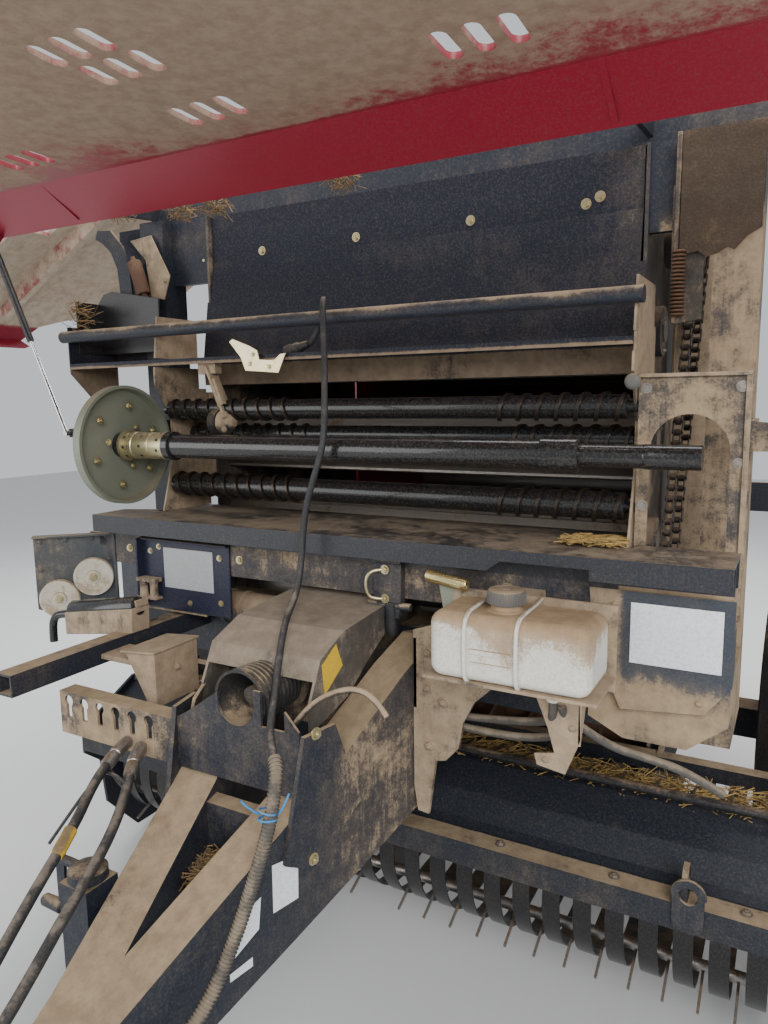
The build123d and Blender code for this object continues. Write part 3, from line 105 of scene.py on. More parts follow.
def make_dust_group():
    """A soft coat of dust over worn and chipped paint. Ledge is what it gains where a face looks up."""
    tree = bpy.data.node_groups.new("Dust", "ShaderNodeTree")
    colour, value = "NodeSocketColor", "NodeSocketFloat"
    for label, kind, start in (
        ("Paint", colour, (0.02, 0.02, 0.02, 1)), ("Dust", colour, (0.3, 0.2, 0.1, 1)),
        ("Amount", value, 0.4), ("Patch", value, 5.0), ("Gloss", value, 0.4), ("Ledge", value, 0.55),
    ):
        tree.interface.new_socket(name=label, in_out="INPUT", socket_type=kind).default_value = start
    for label, kind in (("Colour", colour), ("Roughness", value), ("Height", value)):
        tree.interface.new_socket(name=label, in_out="OUTPUT", socket_type=kind)
    given = tree.nodes.new("NodeGroupInput")
    out = tree.nodes.new("NodeGroupOutput")

    def times(a, b):
        return math_node(tree, "MULTIPLY", a, b)

    def plus(a, b):
        return math_node(tree, "ADD", a, b)

    def minus(a, b):
        return math_node(tree, "SUBTRACT", a, b)

    surface = tree.nodes.new("ShaderNodeTexCoord")
    place = surface.outputs["Object"]
    facing = tree.nodes.new("ShaderNodeSeparateXYZ")
    tree.links.new(surface.outputs["Normal"], facing.inputs[0])
    large = noise(tree, place, given.outputs["Patch"], 8, 0.6)
    middle = noise(tree, place, 30, 7, 0.68)
    fine = noise(tree, place, 210, 4, 0.65)
    grain = noise(tree, place, 900, 2, 0.5)
    stretched = tree.nodes.new("ShaderNodeMapping")
    stretched.inputs["Scale"].default_value = (90, 90, 5)
    tree.links.new(place, stretched.inputs["Vector"])
    runs = noise(tree, stretched.outputs[0], 1.0, 4, 0.6)

    # Where the dust lies: in full patches, with a thin haze between them
    level = plus(given.outputs["Amount"], times(facing.outputs["Z"], given.outputs["Ledge"]))
    for field, weight in ((large, 1.15), (middle, 0.55), (fine, 0.35), (runs, 0.3)):
        level = plus(level, times(minus(field, 0.5), weight))
    haze = times(step(tree, level, 0.02, 0.98), 0.45)
    patches = times(step(tree, level, 0.4, 0.62), 0.55)
    specks = times(step(tree, fine, 0.6, 0.74), 0.09)
    mask = math_node(tree, "MAXIMUM", plus(haze, patches), specks, True)
    chips = step(tree, middle, 0.66, 0.73)
    mask = times(mask, minus(1.0, times(chips, 0.5)))

    # Colours of the worn paint and of the dust
    faded = times(step(tree, fine, 0.42, 0.7), 0.22)
    worn = mix_colour(tree, faded, given.outputs["Paint"], (0.12, 0.105, 0.09))
    shade = mix_colour(tree, grain, (0.78, 0.77, 0.76), (1.0, 1.0, 1.0))
    tone = mix_colour(tree, step(tree, middle, 0.3, 0.7), (0.78, 0.74, 0.7), (1.05, 1.03, 1.0))
    dust = mix_colour(tree, 1.0, given.outputs["Dust"], shade, "MULTIPLY")
    dust = mix_colour(tree, 1.0, dust, tone, "MULTIPLY")
    tree.links.new(mix_colour(tree, mask, worn, dust), out.inputs["Colour"])

    rough = times(mask, minus(0.93, given.outputs["Gloss"]))
    tree.links.new(plus(rough, given.outputs["Gloss"]), out.inputs["Roughness"])
    height = plus(plus(times(mask, 0.45), times(fine, 0.5)), times(middle, 0.35))
    tree.links.new(height, out.inputs["Height"])
    return tree


DUST_GROUP = make_dust_group()
DUST = (0.36, 0.275, 0.18)
DARK_DUST = (0.2, 0.145, 0.095)
NAVY = (0.012, 0.016, 0.026)
CRIMSON = (0.27, 0.008, 0.03)
BUMP_STRENGTH = 0.7


def zone_level(tree, amount, zones):
    """The amount of dust with what each zone adds. Its limits are (axis, from mm, to mm), where it rises."""
    parts = tree.nodes.new("ShaderNodeSeparateXYZ")
    tree.links.new(tree.nodes.new("ShaderNodeTexCoord").outputs["Object"], parts.inputs[0])
    level = amount
    for share, limits in zones:
        for axis, start, end in limits:
            share = math_node(tree, "MULTIPLY", step(tree, parts.outputs[axis], start * MM, end * MM), share)
        level = math_node(tree, "ADD", share, level)
    return level


def dusty(name, paint, amount=0.3, patch=5.0, gloss=0.38, dust=DUST, metallic=0.0, bump=0.0009, coat=0.0,
          ledge=0.55, zones=(), spec=0.3):
    mat = bpy.data.materials.new(name)
    mat.use_nodes = True
    tree = mat.node_tree
    shader = tree.nodes["Principled BSDF"]
    layer = tree.nodes.new("ShaderNodeGroup")
    layer.node_tree = DUST_GROUP
    if zones:
        amount = zone_level(tree, amount, zones)
    for label, value in (("Paint", paint), ("Dust", dust), ("Amount", amount), ("Patch", patch),
                         ("Gloss", gloss), ("Ledge", ledge)):
        feed(tree, layer.inputs[label], value)
    bumps = tree.nodes.new("ShaderNodeBump")
    bumps.inputs["Distance"].default_value = bump
    bumps.inputs["Strength"].default_value = BUMP_STRENGTH
    for output, socket in (("Colour", shader.inputs["Base Color"]), ("Roughness", shader.inputs["Roughness"]),
                           ("Height", bumps.inputs["Height"])):
        tree.links.new(layer.outputs[output], socket)
    tree.links.new(bumps.outputs["Normal"], shader.inputs["Normal"])
    shader.inputs["Metallic"].default_value = metallic
    shader.inputs["Specular IOR Level"].default_value = spec
    shader.inputs["Coat Weight"].default_value = coat
    return mat


MAT = {
    # Painted steel
    "frame": dusty("frame_paint", NAVY, 0.14, gloss=0.5),
    "frame_dark": dusty("frame_dark", NAVY, 0.06, 6, 0.5),
    "frame_tan": dusty("frame_tan", (0.03, 0.028, 0.028), 0.66, 4, dust=(0.38, 0.295, 0.205)),
    # The arch's plate and the right post are pale with dust, the beams above are bare, the sill is between
    "front": dusty("front_frame_paint", NAVY, 0.12, gloss=0.5, zones=(
        (0.46, (("X", 640, 648), ("Z", 1960, 1880))),
        (0.3, (("X", 645, 760), ("Z", 1880, 2000))),
        (0.2, (("Z", 1200, 1190), ("Z", 1000, 1100))))),
    "drawbar": dusty("drawbar_paint", NAVY, 0.08, 4, 0.5, ledge=0.7, zones=((0.32, (("Y", -640, -300),)),)),
    "bracket": dusty("bracket_paint", NAVY, 0.26, 7, 0.5, zones=((0.4, (("X", -150, -260),)),)),
    # Dust lies on the shelf and hangs on the wall below it. The panel above is bare, less so at its left end
    "shelf": dusty("shelf_paint", (0.009, 0.011, 0.02), -0.02, 4, 0.55, (0.25, 0.19, 0.135), ledge=0.8,
                   spec=0.2, zones=(
        (0.8, (("Z", 1664, 1655),)), (0.24, (("X", 420, 640), ("Z", 1690, 1760))))),
    "chamber": dusty("chamber_paint", (0.03, 0.028, 0.03), 0.42, 6, 0.6, (0.3, 0.235, 0.165)),
    "board": dusty("board_paint", (0.035, 0.042, 0.05), 0.34, 6, dust=(0.24, 0.2, 0.145)),
    "pickup": dusty("pickup_paint", (0.011, 0.014, 0.021), 0.12, 6, 0.5, ledge=0.62, zones=(
        (-0.75, (("Y", 38, 44), ("Y", 240, 230))),)),
    "navy": dusty("navy_panel", (0.009, 0.012, 0.03), -0.04, 3, dust=DARK_DUST),
    "tray": dusty("tray_paint", (0.02, 0.022, 0.028), 0.06, 6, dust=(0.27, 0.215, 0.155), ledge=0.52),
    # The hood is dusty underneath, apart from the band between its seam and its lip
    "hood": dusty("hood_paint", CRIMSON, 0.64, 2.2, 0.36, (0.36, 0.275, 0.205), ledge=-0.3, spec=0.5, zones=(
        (-0.44, (("Y", -420, -150),)), (-0.56, (("Y", -170, -140),)))),
    "red": dusty("gate_paint", CRIMSON, -0.02, 3, 0.3),
    # The doors are dusty inside and clean outside
    "door": dusty("door_paint", CRIMSON, 0.62, 3, 0.4, (0.58, 0.51, 0.41), ledge=-0.38, zones=(
        (-0.9, (("X", -1836, -1852),)), (-0.9, (("X", 1836, 1852),)))),
    "black": dusty("black_paint", (0.012, 0.012, 0.014), -0.02, 9, 0.3, DARK_DUST),
    # Above its edge the label's box is bare, below it the dust lies
    "box": dusty("box_paint", (0.035, 0.042, 0.055), 0.2, 6, 0.5, zones=(
        (0.42, (("Z", 1030, 970),)), (0.36, (("X", 664, 648), ("X", 560, 580))))),
    "guard": dusty("guard_plate", (0.05, 0.045, 0.042), 0.4, 6, 0.5, (0.27, 0.225, 0.175)),
    "cast": dusty("cast_gearbox", (0.03, 0.028, 0.027), 0.45, 8, 0.6, (0.27, 0.2, 0.14)),
    "rim": dusty("rim_paint", (0.55, 0.53, 0.48), 0.06, 7, 0.35),
    # Bare and plated metal
    "roller": dusty("roller_black", (0.009, 0.009, 0.01), -0.26, 12, 0.26, (0.16, 0.12, 0.085), coat=0.2),
    "chamber_roller": dusty("worn_roller", (0.28, 0.26, 0.24), 0.1, 9, 0.35, (0.3, 0.23, 0.13), 0.8),
    "spiral": dusty("spiral_bar", (0.045, 0.036, 0.03), -0.16, 14, 0.3, (0.22, 0.16, 0.11), 0.7),
    "chain": dusty("chain_steel", (0.045, 0.035, 0.03), 0.12, 20, 0.5, (0.16, 0.11, 0.08), 0.6),
    "shaft": dusty("shaft_black", (0.008, 0.008, 0.009), -0.28, 10, 0.2, DARK_DUST, coat=0.35),
    "steel": dusty("worn_steel", (0.34, 0.32, 0.3), 0.05, 14, 0.34, (0.25, 0.18, 0.12), 0.9),
    "zinc": dusty("yellow_zinc", (0.5, 0.44, 0.26), 0.08, 18, 0.3, (0.32, 0.27, 0.18), 0.85),
    "brass": dusty("bright_zinc", (0.72, 0.6, 0.3), -0.25, 14, 0.22, metallic=0.95),
    "disc": dusty("disc_zinc", (0.2, 0.215, 0.165), 0.2, 7, 0.5, (0.25, 0.225, 0.16), 0.35),
    "chrome": dusty("rod_chrome", (0.62, 0.62, 0.62), -0.3, 9, 0.12, metallic=1.0),
    "bolt": dusty("bolt_steel", (0.3, 0.28, 0.25), 0.3, 40, 0.4, (0.25, 0.19, 0.13), 0.7),
    "rust": dusty("rusty_steel", (0.1, 0.05, 0.03), 0.28, 12, 0.75, (0.2, 0.13, 0.08)),
    # Plastic and rubber
    "tank": dusty("tank_plastic", (0.64, 0.62, 0.56), 0.3, 9, 0.35, (0.36, 0.26, 0.16), ledge=0.7, zones=(
        (0.26, (("Z", 1060, 1125),)), (0.16, (("X", 430, 450), ("X", 540, 500), ("Z", 1030, 1050))))),
    "strap": dusty("strap_plastic", (0.62, 0.6, 0.54), 0.05, 12, 0.4, (0.3, 0.22, 0.14)),
    "cap": dusty("cap_plastic", (0.1, 0.095, 0.09), 0.22, 14, 0.5, (0.28, 0.21, 0.14)),
    "pulley": dusty("pulley_plastic", (0.5, 0.46, 0.38), 0.42, 12, 0.5, (0.34, 0.27, 0.18)),
    "plastic": dusty("black_plastic", (0.018, 0.018, 0.019), 0.12, 14, 0.5),
    "rubber": dusty("black_rubber", (0.02, 0.021, 0.024), 0.05, 16, 0.55, (0.2, 0.17, 0.14)),
    "tyre": dusty("tyre_rubber", (0.014, 0.014, 0.014), 0.06, 6, 0.72, (0.2, 0.16, 0.12)),
    "conduit": dusty("conduit_plastic", (0.06, 0.055, 0.05), 0.36, 20, 0.6, (0.24, 0.2, 0.15)),
    "lamp": dusty("lamp_red", (0.4, 0.012, 0.012), -0.2, 9, 0.15, coat=0.6),
    "amber": dusty("lamp_amber", (0.55, 0.2, 0.01), -0.2, 9, 0.15, coat=0.6),
    "lens": dusty("lamp_clear", (0.6, 0.6, 0.6), -0.2, 9, 0.12, coat=0.6),
    "grey_label": dusty("grey_label", (0.3, 0.31, 0.32), 0.1, 9, 0.4),
    "white_label": dusty("white_label", (0.68, 0.7, 0.72), 0.06, 20, 0.35, (0.1, 0.08, 0.07)),
    "yellow_label": dusty("yellow_label", (0.62, 0.4, 0.03), 0.16, 16, 0.4, (0.16, 0.12, 0.08)),
    "blue_twine": dusty("blue_twine", (0.03, 0.22, 0.5), -0.1, 30, 0.6),
    # Mud and straw
    "mud": dusty("dried_mud", (0.05, 0.034, 0.022), 0.3, 9, 0.9, (0.16, 0.11, 0.07), bump=0.004),
    "straw": dusty("straw", (0.36, 0.235, 0.075), 0.1, 30, 0.75, (0.22, 0.15, 0.07)),
    "old_straw": dusty("old_straw", (0.24, 0.15, 0.06), 0.1, 30, 0.8, DARK_DUST),
}

NODES_OF_LOOK = {
    "chamber": ("chamber_plates",),
    "chamber_roller": ("front_rollers", "gate_rollers"),
    "steel": ("feed_floor", "hitch_ring", "chain_sprockets", "drive_chain", "pickup_reel"),
    "front": ("front_frame",),
    "navy": ("roof_panel",),
    "frame": ("shelf_rail",),
    "frame_dark": ("axle_beam", "light_bar", "jack_leg"),
    "frame_tan": ("net_side_plates", "tank_bracket", "pulley_board", "twine_pulleys"),
    "drawbar": ("drawbar",),
    "bracket": ("hose_bracket",),
    "cast": ("gearbox",),
    "guard": ("gearbox_guard",),
    "shelf": ("twine_shelf",),
    "tray": ("net_tray",),
    "tank": ("oil_tank",),
    "box": ("side_boxes",),
    "red": ("gate_plates", "gate_shell"),
    "lamp": ("rear_lamps",),
    "black": ("gate_barrel_left", "gate_barrel_right", "strut_barrel_left", "strut_barrel_right", "strippers",
              "wind_guard"),
    "chrome": ("gate_rod_left", "gate_rod_right", "strut_rod_left", "strut_rod_right"),
    "tyre": ("tyre_left", "tyre_right", "gauge_wheel_left", "gauge_wheel_right"),
    "rim": ("rim_left", "rim_right"),
    "hood": ("hood",),
    "door": ("door_left", "door_right"),
    "pickup": ("pickup_frame",),
    "rust": ("feed_rotor",),
    "shaft": ("net_shaft",),
    "disc": ("net_disc",),
    "roller": ("net_roller_upper", "net_roller_lower", "net_roller_back"),
}
for look, nodes in NODES_OF_LOOK.items():
    for node in nodes:
        surfaces = NODES[node].data.materials
        surfaces.clear()
        surfaces.append(MAT[look])


# Shapes. Each is added to a mesh, and its points are millimetres in the machine's frame
def push(mesh, corners, way):
    """A flat face on the corners, pushed along a vector to a closed solid."""
    near = [mesh.verts.new(corner) for corner in corners]
    far = [mesh.verts.new(Vector(corner) + Vector(way)) for corner in corners]
    mesh.faces.new(near)
    mesh.faces.new(far[::-1])
    for n in range(len(near)):
        m = (n + 1) % len(near)
        mesh.faces.new((near[m], near[n], far[n], far[m]))


def box(mesh, x0, x1, y0, y1, z0, z1):
    place = Matrix.Translation(((x0 + x1) / 2, (y0 + y1) / 2, (z0 + z1) / 2))
    bmesh.ops.create_cube(mesh, size=1, matrix=place @ Matrix.Diagonal((x1 - x0, y1 - y0, z1 - z0, 1)))


def prism(mesh, points, axis, low, high):
    """A flat outline pushed from low to high along axis 'x', 'y' or 'z'."""
    def lay(u, v, w):
        return {"x": (w, u, v), "y": (u, w, v), "z": (u, v, w)}[axis]

    push(mesh, [lay(u, v, low) for u, v in points], lay(0, 0, high - low))


def plate(mesh, corners, thick):
    """A thin plate, raised to the side that its corners turn about, and sunk a little into the part below."""
    corners = [Vector(corner) for corner in corners]
    up = (corners[1] - corners[0]).cross(corners[2] - corners[1]).normalized() * thick
    push(mesh, [corner + up for corner in corners], up * -1.2)


def aim(start, end):
    """A matrix that takes +Z to the line from start to end, with its origin at the middle, and the length."""
    start, end = Vector(start), Vector(end)
    turned = (end - start).to_track_quat("Z", "Y").to_matrix().to_4x4()
    return Matrix.Translation((start + end) / 2) @ turned, (end - start).length


def rod(mesh, start, end, r, sides=24, r_end=None):
    place, length = aim(start, end)
    bmesh.ops.create_cone(mesh, cap_ends=True, segments=sides, radius1=r, radius2=r_end or r, depth=length,
                          matrix=place)


def bar(mesh, start, end, width, thick, turn=0.0):
    """A flat bar from start to end, turned about its own length."""
    place, length = aim(start, end)
    place = place @ Matrix.Rotation(math.radians(turn), 4, "Z") @ Matrix.Diagonal((width, thick, length, 1))
    bmesh.ops.create_cube(mesh, size=1, matrix=place)


def lathe(mesh, start, end, profile, sides=32):
    """A turned shape with flat ends, from start towards end. The profile lists (mm along, radius)."""
    place, length = aim(start, end)
    place = place @ Matrix.Translation((0, 0, -length / 2))
    spots = [mesh.verts.new(place @ Vector((r, 0, along))) for along, r in profile]
    lines = [mesh.edges.new(pair) for pair in zip(spots, spots[1:])]
    bmesh.ops.spin(mesh, geom=spots + lines, cent=place.translation, axis=place.col[2].xyz, steps=sides,
                   angle=2 * math.pi, use_merge=True)
    bmesh.ops.holes_fill(mesh, edges=[edge for edge in mesh.edges if edge.is_boundary], sides=sides)


def spun_bar(mesh, corners, centre, angle, steps, rise=0.0):
    """A bar with those end corners, swept round the line along X through centre, and along it by rise."""
    face = mesh.faces.new([mesh.verts.new(corner) for corner in corners])
    bmesh.ops.spin(mesh, geom=[face], cent=centre, axis=(1, 0, 0), dvec=(rise / steps, 0, 0), steps=steps,
                   angle=angle)


def bolt(mesh, at, way, r=9):
    """A hexagon head on a washer with the shank's end, standing on the face at that point."""
    at, way = Vector(at), Vector(way).normalized() * r
    rod(mesh, at - way * 0.5 / r, at + way * 0.2, r * 1.35, 20)
    rod(mesh, at, at + way * 0.85, r, 6, r * 0.93)
    rod(mesh, at, at + way * 1.175, r * 0.45, 10)


def circle(count, r, start=0.0):
    """Points (u, v) evenly round a circle, the first at the angle start in degrees."""
    angles = [math.radians(start) + 2 * math.pi * n / count for n in range(count)]
    return [(r * math.cos(a), r * math.sin(a)) for a in angles]


# Pieces. Each rides on a body and takes one material of the table above
SAME_SPOT = 0.001
SMOOTH_BELOW = math.radians(35)
BEVEL_ABOVE = math.radians(40)


def place_piece(piece, mat, body):
    bpy.context.scene.collection.objects.link(piece)
    piece.data.materials.append(MAT[mat])
    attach(piece, body)
    return piece


def build(name, mat, body, shapes, bevel=0.0, smooth=True, place=None):
    """One piece of several shapes, each given as its function and that function's values."""
    mesh = bmesh.new()
    for shape, *values in shapes:
        shape(mesh, *values)
    if place is not None:
        bmesh.ops.transform(mesh, matrix=place, verts=mesh.verts)
    bmesh.ops.remove_doubles(mesh, verts=mesh.verts, dist=SAME_SPOT)
    bmesh.ops.recalc_face_normals(mesh, faces=mesh.faces)
    bmesh.ops.scale(mesh, verts=mesh.verts, vec=(MM, MM, MM))
    data = bpy.data.meshes.new(name)
    mesh.to_mesh(data)
    mesh.free()
    piece = bpy.data.objects.new(name, data)
    if smooth:
        data.shade_smooth()
        data.set_sharp_from_angle(angle=SMOOTH_BELOW)
    if bevel:
        edges = piece.modifiers.new("edges", "BEVEL")
        edges.width = bevel * MM
        edges.segments = 2
        edges.limit_method = "ANGLE"
        edges.angle_limit = BEVEL_ABOVE
    return place_piece(piece, mat, body)


def bolts(name, body, spots, way, r=9, mat="bolt"):
    """Bolts of one size whose heads all face one way."""
    build(name, mat, body, [(bolt, spot, way, r) for spot in spots])


def add_line(curve, points, fineness, unit=MM):
    line = curve.splines.new("NURBS")
    line.points.add(len(points) - 1)
    for spot, (x, y, z) in zip(line.points, points):
        spot.co = (x * unit, y * unit, z * unit, 1)
    line.order_u = 3
    line.use_endpoint_u = True
    line.resolution_u = fineness


def pipes(name, lines, diameter, mat, body, roundness=3, smooth=6):
    """Round bars, pipes and cords of one thickness, each bent along its own points."""
    curve = bpy.data.curves.new(name, "CURVE")
    curve.dimensions = "3D"
    for points in lines:
        add_line(curve, points, smooth)
    curve.bevel_depth = diameter * MM / 2
    curve.bevel_resolution = roundness
    curve.use_fill_caps = True
    return place_piece(bpy.data.objects.new(name, curve), mat, body)


def ring_line(centre, way, r, steps=12):
    """The points of a closed round wire. Its last step lies over its first."""
    place, length = aim(centre, Vector(centre) + Vector(way))
    return [tuple(place @ Vector((r * math.cos(a), r * math.sin(a), -length / 2)))
            for a in (2 * math.pi * n / steps for n in range(steps + 2))]


# Cords. Their points are those of the routes in the part's source
CUP_Y, CUP_Z = -1400, 552
CONTROL_CABLE = [
    (-150, 64, 1690), (-128, 60, 1708), (-108, 50, 1742), (-90, 36, 1776), (-72, 14, 1790), (-58, -12, 1778),
    (-48, -30, 1745), (-36, -46, 1700), (-22, -66, 1640), (-2, -100, 1575), (20, -136, 1510),
    (24, -152, 1450), (2, -156, 1385), (-22, -156, 1320), (-32, -158, 1250), (-34, -164, 1190),
    (-30, -184, 1140), (-20, -222, 1108), (0, -270, 1096), (28, -325, 1075), (54, -378, 1030),
    (76, -425, 975), (98, -468, 940), (122, -496, 930), (142, -514, 915),
]
CONDUIT = [
    (142.6, -514.5, 914.6), (156, -526.6, 904.5), (165, -545, 872), (167, -563, 824), (163, -583, 776),
    (157, -608, 722), (151, -636, 668), (145, -665, 622), (139, -695, 580), (132, -730, 548),
    (123, -775, 526), (112, -825, 515), (100, -880, 517), (87, -935, 526), (70, -993, 542),
    (50, -1055, 555), (34, -1125, 559), (25, -1200, 557), (21, -1275, 553), (22, -1340, CUP_Z),
    (22, CUP_Y + 0.5, CUP_Z),
]
HOSE_OUTER = [
    (-304, -462, 822), (-296, -498, 812), (-280, -545, 802), (-252, -600, 790), (-218, -655, 776),
    (-190, -715, 758), (-168, -780, 732), (-146, -845, 702), (-123, -910, 671), (-98, -975, 638),
    (-76, -1045, 608), (-60, -1120, 583), (-50, -1200, 566), (-45, -1285, 553), (-44, -1340, CUP_Z),
    (-44, CUP_Y + 0.5, CUP_Z),
]
HOSE_INNER = [
    (-262, -462, 818), (-246, -492, 806), (-218, -530, 792), (-186, -575, 777), (-155, -625, 762),
    (-126, -680, 748), (-100, -745, 730), (-76, -815, 706), (-54, -885, 676), (-36, -955, 644),
    (-24, -1030, 612), (-16, -1110, 586), (-12, -1195, 567), (-13, -1285, 553), (-12, -1340, CUP_Z),
    (-12, CUP_Y + 0.5, CUP_Z),
]
for name, node, points, diameter, mat, stiffness, length in (
    ("control_lead", "control_cable", CONTROL_CABLE, 15, "rubber", "medium", 1.304),
    ("conduit_hose", "conduit_bundle", CONDUIT, 22, "conduit", "medium", 1.129),
    ("hydraulic_hose_outer", "hose_outer", HOSE_OUTER, 20, "rubber", "stiff", 1.03),
    ("hydraulic_hose_inner", "hose_inner", HOSE_INNER, 20, "rubber", "stiff", 1.035),
):
    piece = pipes(name, [points], diameter, mat, "frame", roundness=5, smooth=8)
    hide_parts(node)


# Net rollers: tubes on thin journals, with bars that spiral to the middle from both ends
def spiral_bar(mesh, y, z, r_in, r_out, x0, x1, pitch, hand):
    half_width, steps_a_turn = 4.5, 22
    steps = int((x1 - x0) / pitch * steps_a_turn)
    corners = [(x0 + off, y + r, z) for r, off in (
        (r_in, -half_width), (r_out, -half_width), (r_out, half_width), (r_in, half_width))]
    spun_bar(mesh, corners, (0, y, z), hand * 2 * math.pi * steps / steps_a_turn, steps, x1 - x0)


for node, y, z, tube, crest in (
    ("net_roller_upper", 67, 1530, 25, 31),
    ("net_roller_lower", 75, 1322, 29, 35),
    ("net_roller_back", 158, 1460, 25, 31),
):
    build(node + "_tube", "roller", node, [(lathe, (-650, y, z), (650, y, z), [
        (0, 11), (1, 12), (22, 12), (22.5, tube - 2), (24, tube), (1276, tube), (1277.5, tube - 2),
        (1278, 12), (1299, 12), (1300, 11)], 40)])
    spiral = build(node + "_spiral", "spiral", node, [
        (spiral_bar, y, z, tube - 1.5, crest, -622, -196, 42, 1),
        (spiral_bar, y, z, tube - 1.5, crest, 340, 622, 42, -1)], bevel=0.8)
    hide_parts(node)

# Net shaft: zinc sleeve with its screws, collars, and the disc's bolts
SHAFT_Y, SHAFT_Z = -95, 1440
DISC_X = -642.5


def on_shaft(x, ring=(0, 0)):
    return (x, SHAFT_Y + ring[0], SHAFT_Z + ring[1])


def sleeve_screw(mesh, x, ring, height=1.2):
    spot = Vector(on_shaft(x, ring))
    way = Vector((0, *ring)).normalized()
    rod(mesh, spot, spot + way * height, 4, 12)


build("shaft_sleeve", "zinc", "net_shaft", [(lathe, on_shaft(-636), on_shaft(-470), [
    (0, 39), (3, 41), (12, 41), (14, 34.4), (34, 34.4), (36, 36.2), (44, 36.2), (46, 34.4), (96, 34.4),
    (97, 35.6), (103, 35.6), (104, 34.4), (140, 34.4), (141, 36.4), (164, 36.4), (166, 34.6)], 48)])
# Each row of screws starts at another angle, which its x gives in radians
build("sleeve_screws", "black", "net_shaft", [
    (sleeve_screw, x, ring) for x in (-618, -600, -560, -500) for ring in circle(8, 34.2, math.degrees(x))])
build("shaft_collars", "shaft", "net_shaft", [
    (lathe, on_shaft(-486), on_shaft(-462), [(0, 34), (2, 36.6), (22, 36.6), (24, 31)], 48),
    (lathe, on_shaft(498), on_shaft(574), [
        (0, 31), (2, 35.2), (30, 35.2), (31, 34), (36, 34), (37, 35.2), (72, 35.2), (76, 31)], 48),
    (lathe, on_shaft(690), on_shaft(790), [(0, 22.6), (2, 23.4), (12, 23.4), (14, 22.7), (100, 22.7)], 40)])
build("disc_bolts", "zinc", "net_shaft", [
    *((bolt, on_shaft(DISC_X, ring), (1, 0, 0), 8) for ring in circle(6, 105, 20)),
    *((bolt, on_shaft(DISC_X, ring), (1, 0, 0), 6) for ring in circle(3, 60, 50))])


# Drive chain: side plates in two widths and a roller at each pin, along a loop of points (y, z)
CHAIN_PITCH = 25.4
CHAIN_X = 701
LINK_HALF = ((-0.62, 4), (-0.5, 8), (-0.3, 8.6), (0, 6.6), (0.3, 8.6), (0.5, 8), (0.62, 4))
LINK_OUTLINE = LINK_HALF + tuple((share, -half) for share, half in reversed(LINK_HALF))
LINK_THICK = 2.4


def chain_links(mesh, x, loop, pitch):
    lengths = [math.dist(a, b) for a, b in zip(loop, loop[1:] + loop[:1])]
    total = sum(lengths)
    count = round(total / pitch / 2) * 2
    pins = []
    for n in range(count):
        along = total * n / count
        for a, b, size in zip(loop, loop[1:] + loop[:1], lengths):
            if along <= size:
                share = along / size
                pins.append(Vector((x, a[0] + (b[0] - a[0]) * share, a[1] + (b[1] - a[1]) * share)))
                break
            along -= size
    for n, (here, after) in enumerate(zip(pins, pins[1:] + pins[:1])):
        inside = 8.4 if n % 2 else 5.8
        size = (after - here).length
        way = (after - here).normalized()
        across = Vector((0, -way.z, way.y))
        for side in (-1, 1):
            middle = (here + after) / 2 + Vector((side * inside, 0, 0))
            corners = [middle + way * share * size + across * half for share, half in LINK_OUTLINE]
            push(mesh, corners, (side * LINK_THICK, 0, 0))
        for half, r, sides in ((11.5, 3.6, 8), (5.8, 7.6, 12)):
            rod(mesh, here - Vector((half, 0, 0)), here + Vector((half, 0, 0)), r, sides)


def wrap(low, high, extra, steps=14):
    """The loop of a chain round two sprockets, each (y, z, r)."""
    turn = math.atan2(high[1] - low[1], high[0] - low[0])
    loop = []
    for (y, z, r), a0 in ((high, turn - math.pi / 2), (low, turn + math.pi / 2)):
        for n in range(steps + 1):
            a = a0 + math.pi * n / steps
            loop.append((y + (r + extra) * math.cos(a), z + (r + extra) * math.sin(a)))
    return loop


def sprocket(mesh, y, z, r, x0, x1):
    """A toothed plate with its hub and bolt."""
    teeth = max(9, round(2 * math.pi * r / CHAIN_PITCH))
    points = []
    for n in range(teeth):
        for share, out in ((0.0, -6), (0.18, -5), (0.36, 4), (0.46, 7), (0.54, 7), (0.64, 4), (0.82, -5)):
            a = 2 * math.pi * (n + share) / teeth
            points.append((y + (r + out) * math.cos(a), z + (r + out) * math.sin(a)))
    prism(mesh, points, "x", x0, x1)
    rod(mesh, (x0 - 11, y, z), (x1 + 11, y, z), 29, 32)
    bolt(mesh, (x1 + 11, y, z), (1, 0, 0), 15)


LOW_SPROCKET = (130, 1075, 55)
HIGH_SPROCKET = (495.8, 1919.2, 70)
drive = build("drive_chain_links", "chain", "frame", [
    (chain_links, CHAIN_X, wrap(LOW_SPROCKET, HIGH_SPROCKET, 6), CHAIN_PITCH)])
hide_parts("drive_chain")
build("sprocket_teeth", "steel", "frame", [
    (sprocket, *wheel, CHAIN_X - 4, CHAIN_X + 4) for wheel in (LOW_SPROCKET, HIGH_SPROCKET)])

